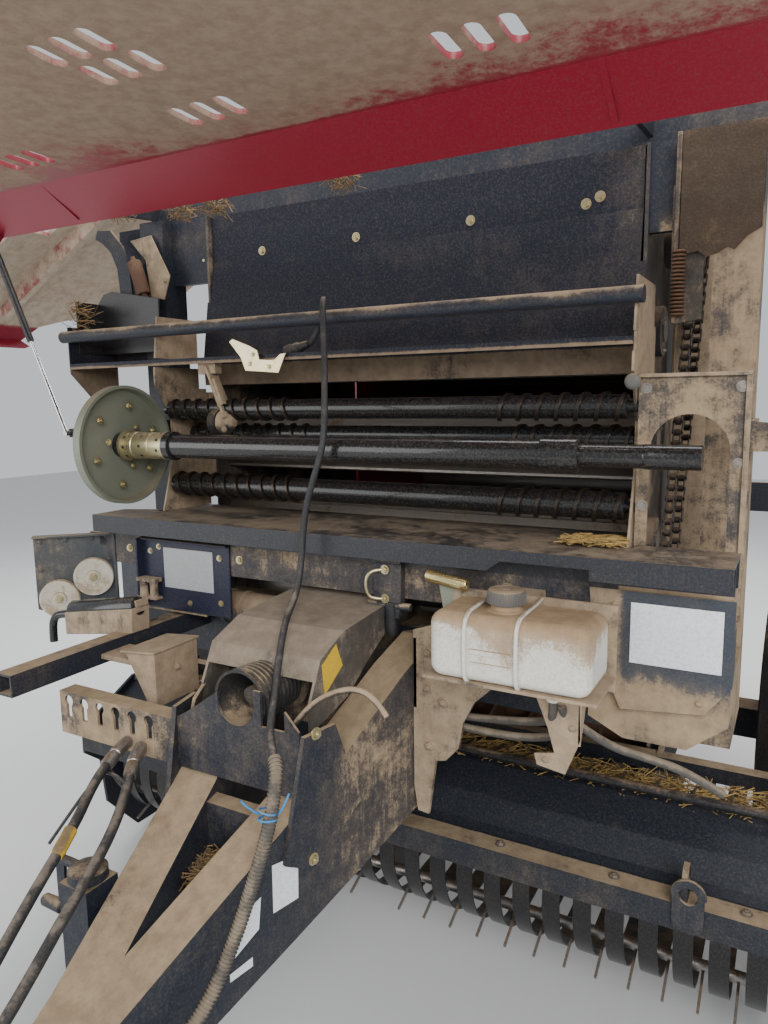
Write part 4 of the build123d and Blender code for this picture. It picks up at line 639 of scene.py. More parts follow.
# Oil tank: straps, ribbed cap, moulded neck and marks, outlet and the pipes below it
TANK_FRONT, TANK_LOW, TANK_HIGH = -275, 1020, 1150
CAP_X, CAP_Y = 466, -200
OUTLET = (560, -200)
pipes("tank_straps", [[
    (x, -128, TANK_HIGH + 9), (x, -150, TANK_HIGH + 5), (x, -240, TANK_HIGH + 4), (x, -262, TANK_HIGH),
    (x, TANK_FRONT - 3, TANK_HIGH - 16), (x, TANK_FRONT - 4, TANK_HIGH - 60),
    (x, TANK_FRONT - 4, TANK_LOW + 55), (x, TANK_FRONT - 3, TANK_LOW + 14), (x, -262, TANK_LOW - 2),
    (x, -240, TANK_LOW - 4), (x, -135, TANK_LOW - 10)] for x in (411, 512)], 8, "strap", "frame")
build("tank_cap", "cap", "frame", [
    (lathe, (CAP_X, CAP_Y, 1163), (CAP_X, CAP_Y, 1192.5), [
        (0, 33), (1, 35.4), (3, 36), (22, 36), (26, 34.6), (28.5, 31), (29.5, 24), (28, 23), (28, 10),
        (29.5, 9)], 60),
    *((rod, (CAP_X + u, CAP_Y + v, 1165), (CAP_X + u, CAP_Y + v, 1187), 1.7, 6, 1.2)
      for u, v in circle(40, 36))])
build("tank_mouldings", "tank", "frame", [
    (box, 421, 502, TANK_FRONT - 2.5, TANK_FRONT + 3, 1078, 1089),
    (box, 421, 502, TANK_FRONT - 1.5, TANK_FRONT + 3, 1060, 1064),
    (lathe, (CAP_X, CAP_Y, 1148), (CAP_X, CAP_Y, 1165), [(0, 40), (4, 36), (6, 30), (10, 28), (17, 28)], 40),
    (rod, (*OUTLET, 1021), (*OUTLET, 984), 15, 24, 13),
    (rod, (*OUTLET, 992), (*OUTLET, 1000), 19, 6)], bevel=1.5)
pipes("tank_pipes", [
    [(*OUTLET, 992), (561, -198, 962), (550, -180, 935), (505, -140, 908), (430, -110, 885), (350, -100, 872),
     (270, -95, 868), (215, -60, 878)],
    [(575, -196, 975), (585, -170, 925), (560, -140, 890), (480, -115, 858), (380, -100, 846),
     (240, -95, 846), (215, -60, 852)],
    [(590, -170, 940), (640, -120, 880), (717, -100, 862), (790, -90, 845), (850, -60, 800)],
], 17, "conduit", "frame")
build("tank_stay", "frame_tan", "frame", [
    (prism, [(608, 1010), (612, 913), (584, 838), (528, 846), (522, 868), (562, 877), (548, 925), (524, 985),
             (530, 1010)], "y", -193, -188),
    (prism, [(-193, 1010), (-193, 900), (-150, 985), (-150, 1010)], "x", 606, 612),
    (bolt, (545, -193, 862), (0, -1, 0), 6),
    (bolt, (596, -193, 935), (0, -1, 0), 6)], bevel=1)

# Gusset plate between the drawbar's arm and the frame, beside the tank
GUSSET_FRONT = -125
build("arm_gusset", "frame_tan", "frame", [
    (prism, [(227, 1056), (227, 700), (236, 640), (263, 637), (281, 766), (305, 772), (335, 807), (345, 866),
             (371, 916), (414, 958), (418, 1030), (290, 1078)], "y", GUSSET_FRONT, GUSSET_FRONT + 10),
    (box, 227, 236, GUSSET_FRONT, 20, 880, 1040),
    *((bolt, (x, GUSSET_FRONT, z), (0, -1, 0))
      for x, z in ((262, 1010), (262, 930), (300, 905), (266, 800)))], bevel=2)

# In front of the sill: a roller tube on its tongue, the latch with its buffer, and bolts
SILL_FRONT = -60
build("tray_roller", "brass", "frame", [(lathe, (262, -124, 1182), (354, -124, 1168), [
    (0, 12), (1, 14), (91, 14), (92.5, 13.4), (92.9, 11.5), (80, 11), (80, 1)], 36)])
build("tray_roller_tongue", "disc", "frame", [
    (prism, [(284, 1176), (348, 1167), (372, 1108), (352, 1085), (300, 1090)], "y", -119, -115.5)], bevel=1)
build("latch_bracket", "frame", "frame", [
    (box, 106, 176, -82, SILL_FRONT, 1096, 1190),
    (box, 102, 180, -92, SILL_FRONT + 5, 1188, 1196),
    (box, 112, 170, -80, SILL_FRONT, 1060, 1098),
    (rod, (86, -72, 1086), (196, -72, 1088), 9)], bevel=2)
pipes("latch_handle", [[
    (132, -84, 1172), (114, -96, 1172), (102, -104, 1160), (99, -106, 1138), (103, -104, 1116),
    (114, -98, 1106), (134, -84, 1105)]], 8, "zinc", "frame")
build("sill_bolts", "zinc", "frame", [
    *((bolt, (136, -82, z), (0, -1, 0), 8) for z in (1172, 1105)),
    (bolt, (419, SILL_FRONT, 1148), (0, -1, 0), 14),
    *((bolt, (x, SILL_FRONT, z), (0, -1, 0), 8) for x, z in ((-690, 1150), (-300, 1150), (255, 1160)))])
build("latch_buffer", "rubber", "frame", [
    (lathe, (147, -74, 1096), (147, -74, 1018), [(0, 12), (4, 15), (60, 14), (74, 11), (78, 7)], 24)])

# Control panel with its blank plate and twine guides, left of the middle under the tray
PANEL_Y = -60
PANEL_LEFT, PANEL_RIGHT, PANEL_LOW, PANEL_HIGH = -640, -330, 992, 1186
build("control_panel", "navy", "frame", [
    (box, PANEL_LEFT, PANEL_RIGHT, PANEL_Y - 6, PANEL_Y, PANEL_LOW, PANEL_HIGH),
    (box, PANEL_LEFT, PANEL_LEFT + 6, PANEL_Y - 30, PANEL_Y, PANEL_LOW, PANEL_HIGH),
    (box, PANEL_LEFT, PANEL_RIGHT, PANEL_Y - 18, PANEL_Y, PANEL_HIGH - 6, PANEL_HIGH)], bevel=2)
build("control_plate", "grey_label", "frame", [
    (box, -557, -384, PANEL_Y - 8, PANEL_Y - 6, 1054, 1164)], bevel=0.8)
bolts("panel_bolts", "frame", [(x, PANEL_Y - 6, z) for x, z in (
    (-606, 1150), (-606, 1030), (-362, 1150), (-362, 1030), (-470, 1018), (-574, 1164))],
    (0, -1, 0), 6, "zinc")
build("twine_guides", "frame_tan", "frame", [
    (box, PANEL_LEFT, -570, -92, PANEL_Y, 1068, 1078),
    (box, PANEL_LEFT, -570, -92, PANEL_Y, 1020, 1026),
    *((lathe, (x, -80, 1022), (x, -80, 1076), [(0, 9), (3, 13), (20, 11), (34, 11), (51, 13), (54, 9)], 20)
      for x in (-624, -586))])

# Twine board and its two pulleys. They are turned the other way than the solids, towards the front left
BOARD = Matrix.Translation((-845, -110, 0)) @ Matrix.Rotation(math.radians(42), 4, "Z")
BOARD_FRONT = -4
PULLEYS = ((40, 1064), (-54, 1006))
board = build("twine_board", "board", "frame", [
    (prism, [(-116, 975), (-60, 958), (104, 990), (104, 1150), (60, 1186), (-116, 1186)],
     "y", BOARD_FRONT, 4),
    (box, -116, 104, -22, 4, 1180, 1186),
    (box, 98, 104, -30, 4, 1000, 1186),
    (box, 60, 104, BOARD_FRONT, 40, 1150, 1186),
    *((bolt, (x, BOARD_FRONT, z), (0, -1, 0), 6) for x, z in (
        (-98, 1168), (-30, 1172), (40, 1172), (84, 1110), (84, 1030), (-100, 1090)))], bevel=1.5, place=BOARD)
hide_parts("pulley_board")
PULLEY_PROFILE = [
    (0, 20), (2, 48), (4, 54), (7, 54), (11, 47), (15, 54), (19, 54), (20.5, 52.5), (21, 49), (19.5, 46),
    (19.5, 20), (22, 18), (22, 6)]


def pulley(mesh, x, z):
    """A grooved pulley with three pads on its face."""
    lathe(mesh, (x, BOARD_FRONT, z), (x, BOARD_FRONT - 22, z), PULLEY_PROFILE, 48)
    for u, v in circle(3, 33, 75):
        rod(mesh, (x + u, -23.6, z + v), (x + u, -24.4, z + v), 5.5, 16)


wheels = build("twine_pulley_wheels", "pulley", "frame", [
    (pulley, x, z) for x, z in PULLEYS], place=BOARD)
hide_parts("twine_pulleys")
build("twine_pulley_bolts", "zinc", "frame", [
    (bolt, (x, BOARD_FRONT - 22, z), (0, -1, 0)) for x, z in PULLEYS], place=BOARD)

# About the square beam: the padded roll with its handle, the hopper block, the flat bar and the cross drum
build("roll_cover", "shaft", "frame", [(lathe, (-757, -208, 1000), (-507, -208, 1040), [
    (0, 20), (3, 25), (6, 26), (247, 26), (250, 25), (253, 20)], 32)])
build("roll_base", "frame_tan", "frame", [
    (prism, [(-757, 940), (-505, 976), (-505, 1040), (-757, 1000)], "y", -238, -180),
    (prism, [(-757, 1000), (-505, 1040), (-505, 1058), (-757, 1018)], "y", -222, -180)], bevel=2)
pipes("roll_handle", [[
    (-750, -214, 992), (-782, -216, 988), (-812, -218, 982), (-828, -219, 966), (-832, -220, 940),
    (-831, -221, 905)]], 22, "shaft", "frame")
build("hopper_block", "frame_tan", "frame", [
    (prism, [(-420, 972), (-327, 980), (-327, 852), (-347, 844)], "y", -340, -200),
    (prism, [(-430, 972), (-322, 982), (-322, 987), (-430, 977)], "y", -346, -196),
    (box, -520, -415, -330, -240, 938, 950),
    (bolt, (-327, -270, 930), (1, 0, 0), 7)], bevel=4)
build("flat_bar", "frame_tan", "frame", [
    (bar, (-338, 66, 1006), (-128, -432, 928), 42, 7, 76)], bevel=1.5)
build("cross_drum", "cast", "frame", [(lathe, (-402, 6, 1004), (-98, 6, 1004), [
    (0, 30), (2, 44), (12, 47), (16, 47), (18, 43), (60, 43), (62, 46), (70, 46), (72, 43), (240, 43),
    (242, 46), (250, 46), (252, 43), (304, 43)], 40)])

# Bell guard of the input shaft, in nine folds
bell = [(0, 46)]
for n in range(9):
    bell += [(8 + 14 * n, 49 + n), (13 + 14 * n, 55 + n), (17 + 14 * n, 55 + n), (20 + 14 * n, 49 + n)]
bell += [(142, 60), (144, 64), (144, 58), (136, 55), (20, 42)]
build("shaft_bell", "plastic", "frame", [(lathe, (0, -291, 965), (0, -435, 965), bell, 40)])

# Blank plates: white ones on the arm, one on the right box, a yellow one on the guard
build("arm_plates", "white_label", "frame", [(plate, corners, 1.2) for corners in (
    ((139, -530, 616), (152, -470, 614), (152, -467, 701), (139, -529, 711)),
    ((120, -620, 580), (132, -565, 605), (133, -557, 664), (121, -618, 645)),
    ((118, -631, 541), (128, -581, 541), (128, -581, 559), (118, -631, 556)))])
build("box_plate", "white_label", "frame", [(box, 671, 837, -68.5, -65, 1036, 1157)], bevel=0.6)
build("guard_plate", "yellow_label", "frame", [
    (plate, ((131, -330, 965), (131, -262, 1005), (131, -285, 1058), (131, -338, 1030)), 1.5)])
build("label_board", "box", "frame", [
    (prism, [(594, 1178), (856, 1178), (856, 1014), (812, 952), (656, 936), (604, 1050)], "y", -66, -62),
    (prism, [(590, 1178), (594, 1178), (604, 1050), (600, 1050)], "y", -66, -20),
    *((bolt, (x, -66, z), (0, -1, 0), 6) for x, z in ((640, 975), (800, 975), (640, 1150)))], bevel=1)
bolts("gusset_bolts", "frame", [(171, -423, 929), (168, -439, 681)], (0.979, -0.206, 0), 9, "zinc")


# Hoses: nuts, ferrules, a yellow sleeve and a strap
def ferrule(mesh, start, middle, end):
    rod(mesh, start, middle, 14, 6)
    lathe(mesh, middle, end, [
        (0, 11), (2, 14), (12, 14), (14, 12.4), (18, 12.4), (20, 14), (44, 14), (50, 12.6)], 24)


build("hose_ferrules", "steel", "frame", [
    (ferrule, (-304, -450, 824), (-300, -482, 816), (-283, -537, 804)),
    (ferrule, (-262, -450, 822), (-250, -485, 809), (-224, -522, 795))])
build("hose_sleeve", "yellow_label", "frame", [
    (lathe, (-206, -682, 768), (-180, -740, 748), [(0, 10.4), (3, 12.6), (50, 12.6), (60, 10.6)], 24)])
pipes("hose_strap", [
    [(-330, -500, 770), (-300, -520, 782), (-262, -540, 800), (-226, -550, 806), (-205, -548, 792),
     (-214, -542, 776), (-240, -538, 784), (-280, -520, 790)],
    [(-330, -500, 770), (-352, -520, 740), (-372, -560, 690), (-390, -600, 640)],
], 7, "rubber", "frame")


# Conduit: its rings follow the curve that its points give, and blue twine ties it to the cable
def conduit_rings(mesh, points, start, end, pitch):
    guide = bpy.data.curves.new("guide", "CURVE")
    guide.dimensions = "3D"
    add_line(guide, points, 16, 1)
    holder = bpy.data.objects.new("guide", guide)
    path = [v.co.copy() for v in bpy.data.meshes.new_from_object(holder).vertices]
    bpy.data.objects.remove(holder)
    travel, wanted = 0.0, start
    for a, b in zip(path, path[1:]):
        size = (b - a).length
        way = (b - a).normalized()
        while wanted <= travel + size and wanted < end:
            spot = a + (b - a) * ((wanted - travel) / size)
            rod(mesh, spot - way * 1.4, spot + way * 1.4, 12.6, 16)
            wanted += pitch
        travel += size


build("conduit_rings", "conduit", "frame", [(conduit_rings, CONDUIT, 6.0, 1120, 6.5)])
pipes("twine_tie", [
    ring_line((160, -560, 838), (0.1, 0.3, 1), 17), ring_line((161, -563, 826), (-0.1, 0.2, 1), 17),
    [(146, -566, 832), (134, -580, 845), (124, -588, 862)],
    [(176, -552, 832), (188, -548, 852), (192, -540, 870)],
], 4, "blue_twine", "frame")

# Upper left corner of the front: the hood stay's arm and damper, their cover and the plate below
build("hood_stay_arm", "frame", "frame", [
    (prism, [(-1018, 2054), (-1007, 2080), (-950, 2074), (-902, 2020), (-879, 1954), (-871, 1860),
             (-922, 1860), (-931, 1957), (-954, 2007), (-985, 2036)], "y", 176, 184)], bevel=1.5)
build("corner_cover", "frame_tan", "frame", [
    (prism, [(-882, 2037), (-795, 2044), (-727, 1921), (-753, 1854), (-806, 1866), (-822, 1974)],
     "y", 188, 192),
    (lathe, (-742, 189, 1914), (-742, 184, 1914), [(0, 13), (1, 13), (4, 11), (5, 9)], 20)], bevel=1)
build("stay_damper", "rust", "frame", [(lathe, (-856, 170, 1985), (-812, 170, 1858), [
    (0, 6), (8, 8), (14, 8), (16, 19), (22, 21), (112, 21), (118, 19), (119, 9), (134, 9)], 28)])
build("corner_plate", "black", "frame", [
    (prism, [(-990, 1700), (-990, 1856), (-966, 1881), (-931, 1888), (-738, 1854), (-745, 1700)],
     "y", 148, 153),
    (box, -990, -984, 60, 153, 1700, 1852)], bevel=1.5)
bolts("back_panel_bolts", "frame", [
    (204, 250, 1978), (484, 250, 1980), (515, 250, 1992), (-120, 250, 1975), (-430, 250, 1972),
    (-640, 250, 1965)], (0, -1, 0), 9, "zinc")

# Small drive by the disc: ribbed wheel and its arm. On the shelf: the plug bracket and the cable's plug
DRIVE_Y, DRIVE_Z = 48, 1496
build("ribbed_wheel", "plastic", "frame", [
    (lathe, (-456, DRIVE_Y, DRIVE_Z), (-428, DRIVE_Y, DRIVE_Z), [
        (0, 12), (1, 33), (3, 36), (7, 31), (11, 36), (15, 31), (19, 36), (23, 31), (26, 35), (28, 12)], 28)])
build("ribbed_wheel_arm", "frame_tan", "frame", [
    (lathe, (-430, DRIVE_Y, DRIVE_Z), (-388, DRIVE_Y, DRIVE_Z), [
        (0, 30), (4, 33), (20, 31), (26, 22), (36, 20), (42, 12)], 28),
    (bar, (-470, 52, 1645), (-412, 52, 1512), 38, 8),
    (bar, (-452, 44, 1610), (-420, 40, 1540), 14, 22),
    (box, -500, -440, 40, 66, 1625, 1665),
    *((bolt, (-404, 24, z), (0.3, -1, 0), 6) for z in (1478, 1514))], bevel=1.5)
build("plug_bracket", "zinc", "frame", [
    (prism, [(-366, 1703), (-354, 1710), (-300, 1690), (-276, 1678), (-270, 1655), (-224, 1652), (-206, 1666),
             (-188, 1668), (-212, 1620), (-316, 1628), (-330, 1662)], "y", 13, 16),
    (box, -272, -222, 14, 34, 1650, 1653.5),
    (box, -330, -276, 14, 30, 1660, 1663),
    *((bolt, (x, 13, z), (0, -1, 0), 5) for x, z in ((-300, 1645), (-240, 1636), (-290, 1668)))], bevel=0.8)
build("cable_plug", "plastic", "frame", [(lathe, (-212, 44, 1668), (-148, 62, 1692), [
    (0, 12), (4, 17), (22, 18), (24, 15), (40, 15), (42, 12), (66, 9)], 28)])

# Right side of the net area: knob, the arch's bolts and edges, chain cover, washer stack, the wall behind
ARCH_FRONT = 52
build("side_knob", "cap", "frame", [(lathe, (645, 24, 1580), (645, 4, 1578), [
    (0, 10), (3, 10), (5, 15), (14, 16), (18, 13), (20, 7)], 28)])
bolts("arch_bolts", "frame", [(x, ARCH_FRONT, z) for x, z in (
    (664, 1566), (838, 1566), (664, 1330), (664, 1215), (838, 1215), (838, 1420), (700, 1198), (800, 1198))],
    (0, -1, 0), 8)
build("arch_edges", "frame_tan", "frame", [
    (box, 845, 855.5, 46, ARCH_FRONT, 1110, 1594),
    (box, 650, 855, 44, ARCH_FRONT, 1586, 1594)], bevel=1.2)
build("chain_cover", "cast", "frame", [
    (box, 682, 692, 196, 206, 1700, 2085),
    (prism, [(676, 1715), (690, 1700), (742, 1708), (742, 1980), (720, 1992), (676, 1985)], "y", 212, 217)],
    bevel=2)
build("washer_stack", "rust", "frame", [
    (lathe, (694, 196, z), (694, 196, z + 6), [(0, 11), (2, 15), (4, 15), (6, 11)], 20)
    for z in range(1716, 1716 + 8 * 17, 8)])
build("inner_wall", "frame_tan", "frame", [
    (box, 645, 770, 566, 572, 1000, 2080),
    (box, 640, 646, 520, 572, 1000, 2080),
    (box, 716, 722, 300, 566, 1960, 2080)], bevel=1)

# Mud and straw take their random numbers from one row, in the order in which they are built
draw = random.Random(7)
POST_FRONT, POST_TOP = 196.5, 2084


def rough_mud(mesh, ragged_edge, rows=16):
    """A sheet of mud on the right post, rough in front, from a ragged lower edge of points (x, z) upwards."""
    bmesh.ops.create_grid(mesh, x_segments=len(ragged_edge) - 1, y_segments=rows, size=1)
    for number, spot in enumerate(mesh.verts):
        row, column = divmod(number, len(ragged_edge))
        x, z = ragged_edge[column]
        swell = draw.uniform(0, 5) * (0 < row < rows)
        spot.co = (x, POST_FRONT - swell, z + (POST_TOP - z) * row / rows)
    for spot in bmesh.ops.extrude_face_region(mesh, geom=list(mesh.faces))["geom"]:
        if isinstance(spot, bmesh.types.BMVert):
            spot.co.y = POST_FRONT + 3


build("post_mud", "mud", "frame", [(rough_mud, (
    (694, 1852), (712, 1842), (730, 1845), (748, 1832), (770, 1838), (786, 1848), (800, 1842), (822, 1866),
    (848, 1880)))])

# Chamber: three bolts round each front roller's bearing, on both side plates
SHELL_Y, SHELL_Z, SHELL_R = 1055, 1450, 880
ROLLER_CIRCLE = 730
bearings = []
for angle in range(100, 240, 20):
    u, v = math.cos(math.radians(angle)), math.sin(math.radians(angle))
    bearings.append((SHELL_Y + ROLLER_CIRCLE * u, SHELL_Z + ROLLER_CIRCLE * v))
build("bearing_bolts", "bolt", "frame", [
    (bolt, (side * 643, y + u, z + v), (side, 0, 0), 6)
    for side in (-1, 1) for y, z in bearings for u, v in circle(3, 44, 30)])

# Wheels: nuts, hub cap, valve, rings on the tyre's walls and the rim's flanges. The gauge wheels' hubs
WHEEL_X, WHEEL_Y, WHEEL_Z = 1080, 1205, 460
GAUGE_X, GAUGE_Y, GAUGE_Z = 1145, 470, 162
for side, name in ((1, "left"), (-1, "right")):
    body, rim, gauge = "wheel_" + name, "rim_" + name, "gauge_wheel_" + name

    def on_wheel(out, u=0, v=0):
        return (side * (WHEEL_X + out), WHEEL_Y + u, WHEEL_Z + v)

    build("wheel_nuts_" + name, "bolt", body, [
        (bolt, on_wheel(0, u, v), (side, 0, 0), 12) for u, v in circle(8, 88)])
    build("hub_cap_" + name, "frame_dark", body, [(lathe, on_wheel(56), on_wheel(92), [
        (0, 46), (3, 50), (10, 50), (12, 44), (30, 40), (35, 33), (36, 20)], 40)])
    build("valve_" + name, "rubber", body, [(lathe, on_wheel(20, 150, 60), on_wheel(48, 156, 62), [
        (0, 4), (18, 4), (19, 5), (28, 5)], 12)])
    pipes("tyre_rings_" + name, [
        ring_line((WHEEL_X * side + x * wall, WHEEL_Y, WHEEL_Z), (1, 0, 0), r, 40)
        for wall in (1, -1) for x, r in ((208, 322), (206.5, 352), (205, 384))],
        5, "tyre", body, roundness=2, smooth=2)
    pipes("rim_flanges_" + name, [
        ring_line((WHEEL_X * side + x, WHEEL_Y, WHEEL_Z), (1, 0, 0), 229, 40) for x in (-171, 171)],
        12, "rim", body, smooth=2)
    hub = (side * GAUGE_X, GAUGE_Y, GAUGE_Z)
    build("gauge_hub_" + name, "bolt", gauge, [
        *((bolt, (hub[0], GAUGE_Y + u, GAUGE_Z + v), (side, 0, 0), 7) for u, v in circle(5, 40)),
        (lathe, hub, (side * (GAUGE_X + 18), GAUGE_Y, GAUGE_Z), [(0, 30), (4, 30), (12, 24), (18, 14)], 28)])


# Tailgate: pressed ribs, the lamps' lenses and frames, and the light bar's bolts
def gate_rib(mesh, x0, x1, rise):
    """A rib round the shell, from 66 degrees below the level to 74 above it."""
    start, sweep = math.radians(-66), math.radians(140)
    corners = [(x, SHELL_Y + r * math.cos(start), SHELL_Z + r * math.sin(start)) for x, r in (
        (x0, SHELL_R - 1), (x1, SHELL_R - 1), (x1, SHELL_R + rise), (x0, SHELL_R + rise))]
    spun_bar(mesh, corners, (0, SHELL_Y, SHELL_Z), sweep, 32)


build("gate_ribs", "red", "gate", [
    (gate_rib, -762, -742, 8), (gate_rib, 742, 762, 8), (gate_rib, -395, -335, 7), (gate_rib, 335, 395, 7),
    (gate_rib, -30, 30, 7)], bevel=3)
LAMP_Y = 2005
for name, mat, x0, x1 in (
    ("red", "lamp", 712, 796), ("amber", "amber", 802, 882), ("white", "lens", 888, 958),
):
    shapes = []
    for side in (-1, 1):
        shapes.append((box, side * x0, side * x1, LAMP_Y - 40, LAMP_Y - 3, 1082, 1178))
        for rib in range(x0 + 8, x1 - 5, 7):
            x = side * rib
            shapes.append((box, x - 2.2, x + 2.2, LAMP_Y - 4, LAMP_Y - 0.5, 1088, 1172))
    lamp = build("rear_lamps_" + name, mat, "gate", shapes, bevel=1)
    if name == "red":
        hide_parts("rear_lamps")
shapes = []
for side in (-1, 1):
    for z in (1080, 1175):
        shapes.append((box, side * 708, side * 962, LAMP_Y - 41, LAMP_Y - 2, z, z + 5))
    for x in (710, 799, 885, 960):
        shapes.append((box, side * (x - 2.5), side * (x + 2.5), LAMP_Y - 41, LAMP_Y - 2, 1080, 1180))
build("lamp_frames", "plastic", "gate", shapes, bevel=1)
bolts("light_bar_bolts", "gate", [
    (side * x, 1963, z) for side in (-1, 1) for x in (450, 520, 660) for z in (1095, 1165)], (0, 1, 0), 8)

# Tailgate cylinders: glands, end rings and ports
CYL_FOOT, CYL_TOP = Vector((692, 900, 1150)), Vector((692, 1330, 2120))
CYL_WAY = (CYL_TOP - CYL_FOOT).normalized()


def on_cylinder(along, y=0, z=0):
    return CYL_FOOT + CYL_WAY * along + Vector((0, y, z))


fittings = [
    (lathe, on_cylinder(648), on_cylinder(702), [
        (0, 35.2), (1, 39), (38, 39), (40, 36), (44, 36), (46, 38), (52, 38), (54, 34), (54.5, 21)], 36),
    (lathe, on_cylinder(36), on_cylinder(70), [(0, 34), (2, 38), (32, 38), (34, 35)], 36)]
for along in (90, 630):
    fittings += [
        (rod, on_cylinder(along), on_cylinder(along, -48, 20), 13, 16),
        (rod, on_cylinder(along, -44, 18), on_cylinder(along, -64, 27), 15, 6)]
for side, name in ((1, "left"), (-1, "right")):
    barrel = "gate_barrel_" + name
    build("cylinder_fittings_" + name, "frame_dark", barrel, fittings,
          place=Matrix.Diagonal((side, 1, 1, 1)))

# Jack: crank box with its crank, pins and the leg's handle
JACK_Y = -690
build("jack_crank", "frame_dark", "frame", [
    (lathe, (-158, JACK_Y, 689), (-158, JACK_Y, 716), [(0, 33), (3, 36), (20, 36), (24, 30), (27, 12)], 32),
    (rod, (-158, JACK_Y, 706), (-232, JACK_Y, 706), 9, 16),
    (bar, (-232, JACK_Y, 716), (-232, JACK_Y, 596), 22, 7),
    (rod, (-222, JACK_Y, 604), (-286, JACK_Y, 604), 8, 16),
    (lathe, (-236, JACK_Y, 604), (-292, JACK_Y, 604), [(0, 10), (3, 13), (50, 12), (56, 8)], 20)])
build("jack_pins", "zinc", "frame", [
    *((bolt, (-88, JACK_Y, z), (1, 0, 0), 8) for z in (470, 520, 570)),
    (rod, (-262, JACK_Y, 420), (-110, JACK_Y, 420), 9.4, 20),
    (rod, (-256, JACK_Y, 424), (-256, JACK_Y, 392), 3, 8)])
pipes("hose_arch", [[
    (110, -400, 930), (138, -400, 964), (175, -400, 994), (224, -400, 1018), (263, -400, 1022),
    (292, -400, 1006), (310, -398, 980)]], 12, "frame_tan", "frame")
pipes("jack_handle", [[
    (x, JACK_Y - 50, z) for x, z in ((-118, 545), (-133, 505), (-160, 470), (-190, 430), (-212, 398))]],
    20, "black", "frame")

# Hitch: bolts of the ring's plate and of the tongue
bolts("ring_bolts", "frame", [(x, -1835, z) for x in (-42, 42) for z in (404, 465, 526)],
      (0, -1, 0), 12)
bolts("tongue_bolts", "frame", [(52, y, z) for z in (426, 520) for y in (-1500, -1620, -1740)],
      (1, 0, 0))

# Gearbox: bolts of its top and of its side covers
build("gearbox_bolts", "bolt", "frame", [
    *((bolt, (x, y, 1040), (0, 0, 1), 8) for x in (-78, 78) for y in (-220, -120, -20)),
    *((bolt, (side * 95, y, z), (side, 0, 0), 8)
      for side in (-1, 1) for y in (-210, -60) for z in (870, 1015))])

# Pick-up: the lug with its hole on the beam's front, and bolts
LUG_X, LUG_Z, LUG_HALF, LUG_DROP = 794, 546, 31, 77
LUG_FRONT, LUG_BACK = -23, -15


def lug(mesh, hole=18, head=35, corner=84, steps=40):
    """A plate round a hole, with a round head, straight sides and cut lower corners."""
    loops = []
    for u, v in circle(steps, 1):
        reach = head if v >= 0 else min(LUG_HALF / max(abs(u), 0.01), LUG_DROP / abs(v), corner)
        loops.append([mesh.verts.new((LUG_X + r * u, LUG_FRONT, LUG_Z + r * v)) for r in (hole, reach)])
    for (a, b), (c, d) in zip(loops, loops[1:] + loops[:1]):
        mesh.faces.new((a, c, d, b))
    for spot in bmesh.ops.extrude_face_region(mesh, geom=list(mesh.faces))["geom"]:
        if isinstance(spot, bmesh.types.BMVert):
            spot.co.y = LUG_BACK


build("beam_lug", "frame", "pickup", [(lug,)], bevel=1)
bolts("pickup_beam_bolts", "pickup", [
    (x, 15, 520) for x in (-900, -640, -380, 380, 640, 900)], (0, 0, 1))
for side, name in ((1, "left"), (-1, "right")):
    bolts("pickup_side_bolts_" + name, "pickup", [(side * 1010, y, z) for y, z in (
        (20, 490), (150, 570), (300, 610), (440, 600), (490, 400), (480, 160), (220, 150), (100, 300))],
        (side, 0, 0), 8)


# Straw behind the pick-up's beam and in the corners where it gathers
def straws(mesh, count, spread, long, flat):
    """Loose straws in a heap. spread gives the low and the high limit of x, of y and of z."""
    for n in range(count):
        spot = Vector([draw.uniform(low, high) for low, high in spread])
        turn = draw.uniform(0, 2 * math.pi)
        way = Vector((math.cos(turn), math.sin(turn), draw.uniform(-flat, flat)))
        way *= draw.uniform(0.3, 1.0) * long / 2
        side = Vector((-math.sin(turn), math.cos(turn), 0)) * draw.uniform(0.9, 1.9)
        bend = Vector((0, 0, draw.uniform(1.0, 2.2)))
        ends = [[mesh.verts.new(spot + s * way + corner) for corner in (side, -side, bend)] for s in (-1, 1)]
        mesh.faces.new(ends[0])
        mesh.faces.new(list(reversed(ends[1])))
        for k in range(3):
            m = (k + 1) % 3
            mesh.faces.new((ends[0][m], ends[0][k], ends[1][k], ends[1][m]))


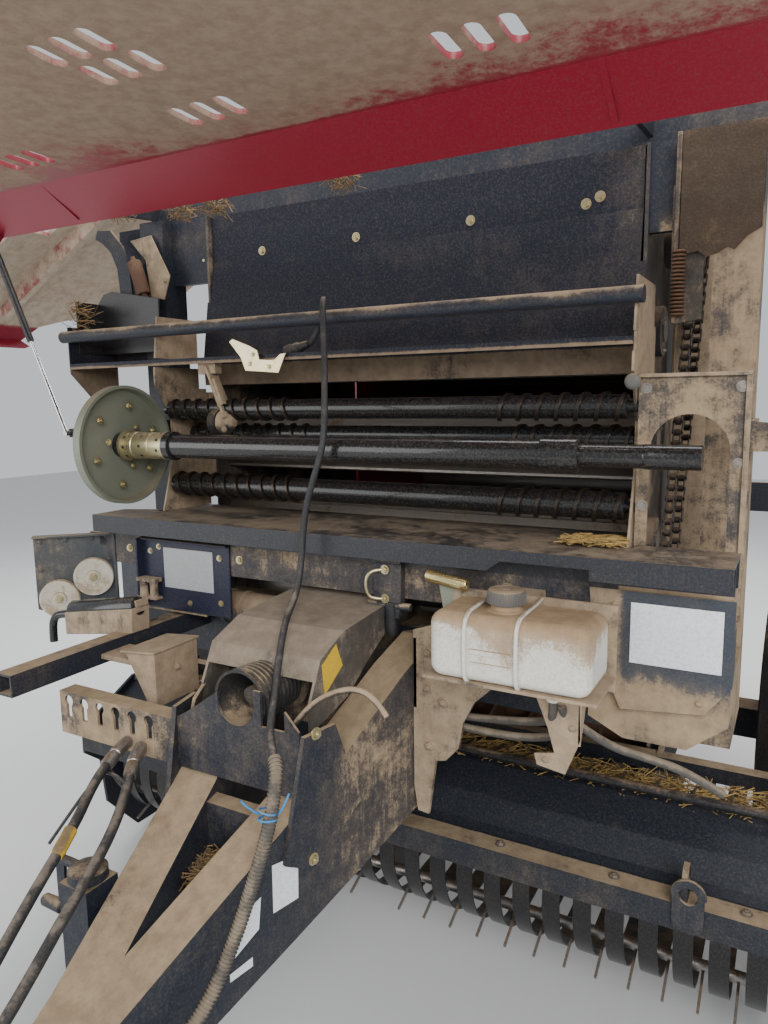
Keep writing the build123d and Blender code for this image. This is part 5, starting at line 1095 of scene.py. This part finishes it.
for name, mat, body, node, count, spread, long, flat in (
    ("straw", "straw", "pickup", "strippers", 4200, ((-930, 930), (206, 330), (584, 632)), 62, 0.25),
    ("straw_on_tray", "straw", "frame", "net_tray", 260, ((520, 632), (-20, 60), (1252, 1262)), 60, 0.08),
    ("straw_on_corner", "old_straw", "frame", "shelf_rail", 60,
     ((-985, -935), (30, 90), (1760, 1850)), 80, 0.5),
    *(("straw_under_lip_%d" % n, "old_straw", "hood", "hood", 60,
       ((x - 28, x + 28), (-4, 60), (z + 2, z + 40)), 54, 0.9)
      for n, (x, z) in enumerate(((-739, 2049), (-521, 2028), (-403, 2022), (-23, 2031)))),
    ("straw_in_drawbar", "old_straw", "frame", "drawbar", 900,
     ((-110, 10), (-560, -455), (612, 668)), 80, 0.35),
):
    build(name, mat, body, [(straws, count, spread, long, flat)], smooth=False)

# Stage and light
floor_mesh = bmesh.new()
bmesh.ops.create_grid(floor_mesh, x_segments=1, y_segments=1, size=14)
floor_data = bpy.data.meshes.new("floor")
floor_mesh.to_mesh(floor_data)
floor_mesh.free()
floor = bpy.data.objects.new("floor", floor_data)
bpy.context.scene.collection.objects.link(floor)
floor_mat = bpy.data.materials.new("floor")
floor_mat.use_nodes = True
floor_shader = floor_mat.node_tree.nodes["Principled BSDF"]
floor_shader.inputs["Base Color"].default_value = (0.62, 0.62, 0.61, 1)
floor_shader.inputs["Roughness"].default_value = 0.9
floor_data.materials.append(floor_mat)

world = bpy.data.worlds.new("studio")
world.use_nodes = True
sky = world.node_tree.nodes["Background"]
sky.inputs["Color"].default_value = (0.86, 0.9, 0.95, 1)
sky.inputs["Strength"].default_value = 0.75
bpy.context.scene.world = world
for name, at, target, size, watts in (
    ("key", (3.2, -4.2, 3.4), (0, -0.2, 1.2), 3.0, 330),
    ("fill", (-3.6, -4.4, 2.2), (0, 0, 1.2), 3.5, 150),
    ("top", (0.4, 0.4, 5.6), (0, 0.4, 0), 4.0, 260),
    ("back", (-2.5, 5.0, 3.6), (0, 1.0, 1.2), 3.0, 240),
):
    data = bpy.data.lights.new(name, "AREA")
    data.size = size
    data.energy = watts
    light = bpy.data.objects.new(name, data)
    light.location = at
    light.rotation_mode = "QUATERNION"
    light.rotation_quaternion = (Vector(target) - Vector(at)).to_track_quat("-Z", "Y")
    bpy.context.scene.collection.objects.link(light)

bpy.context.scene.view_settings.view_transform = "AgX"
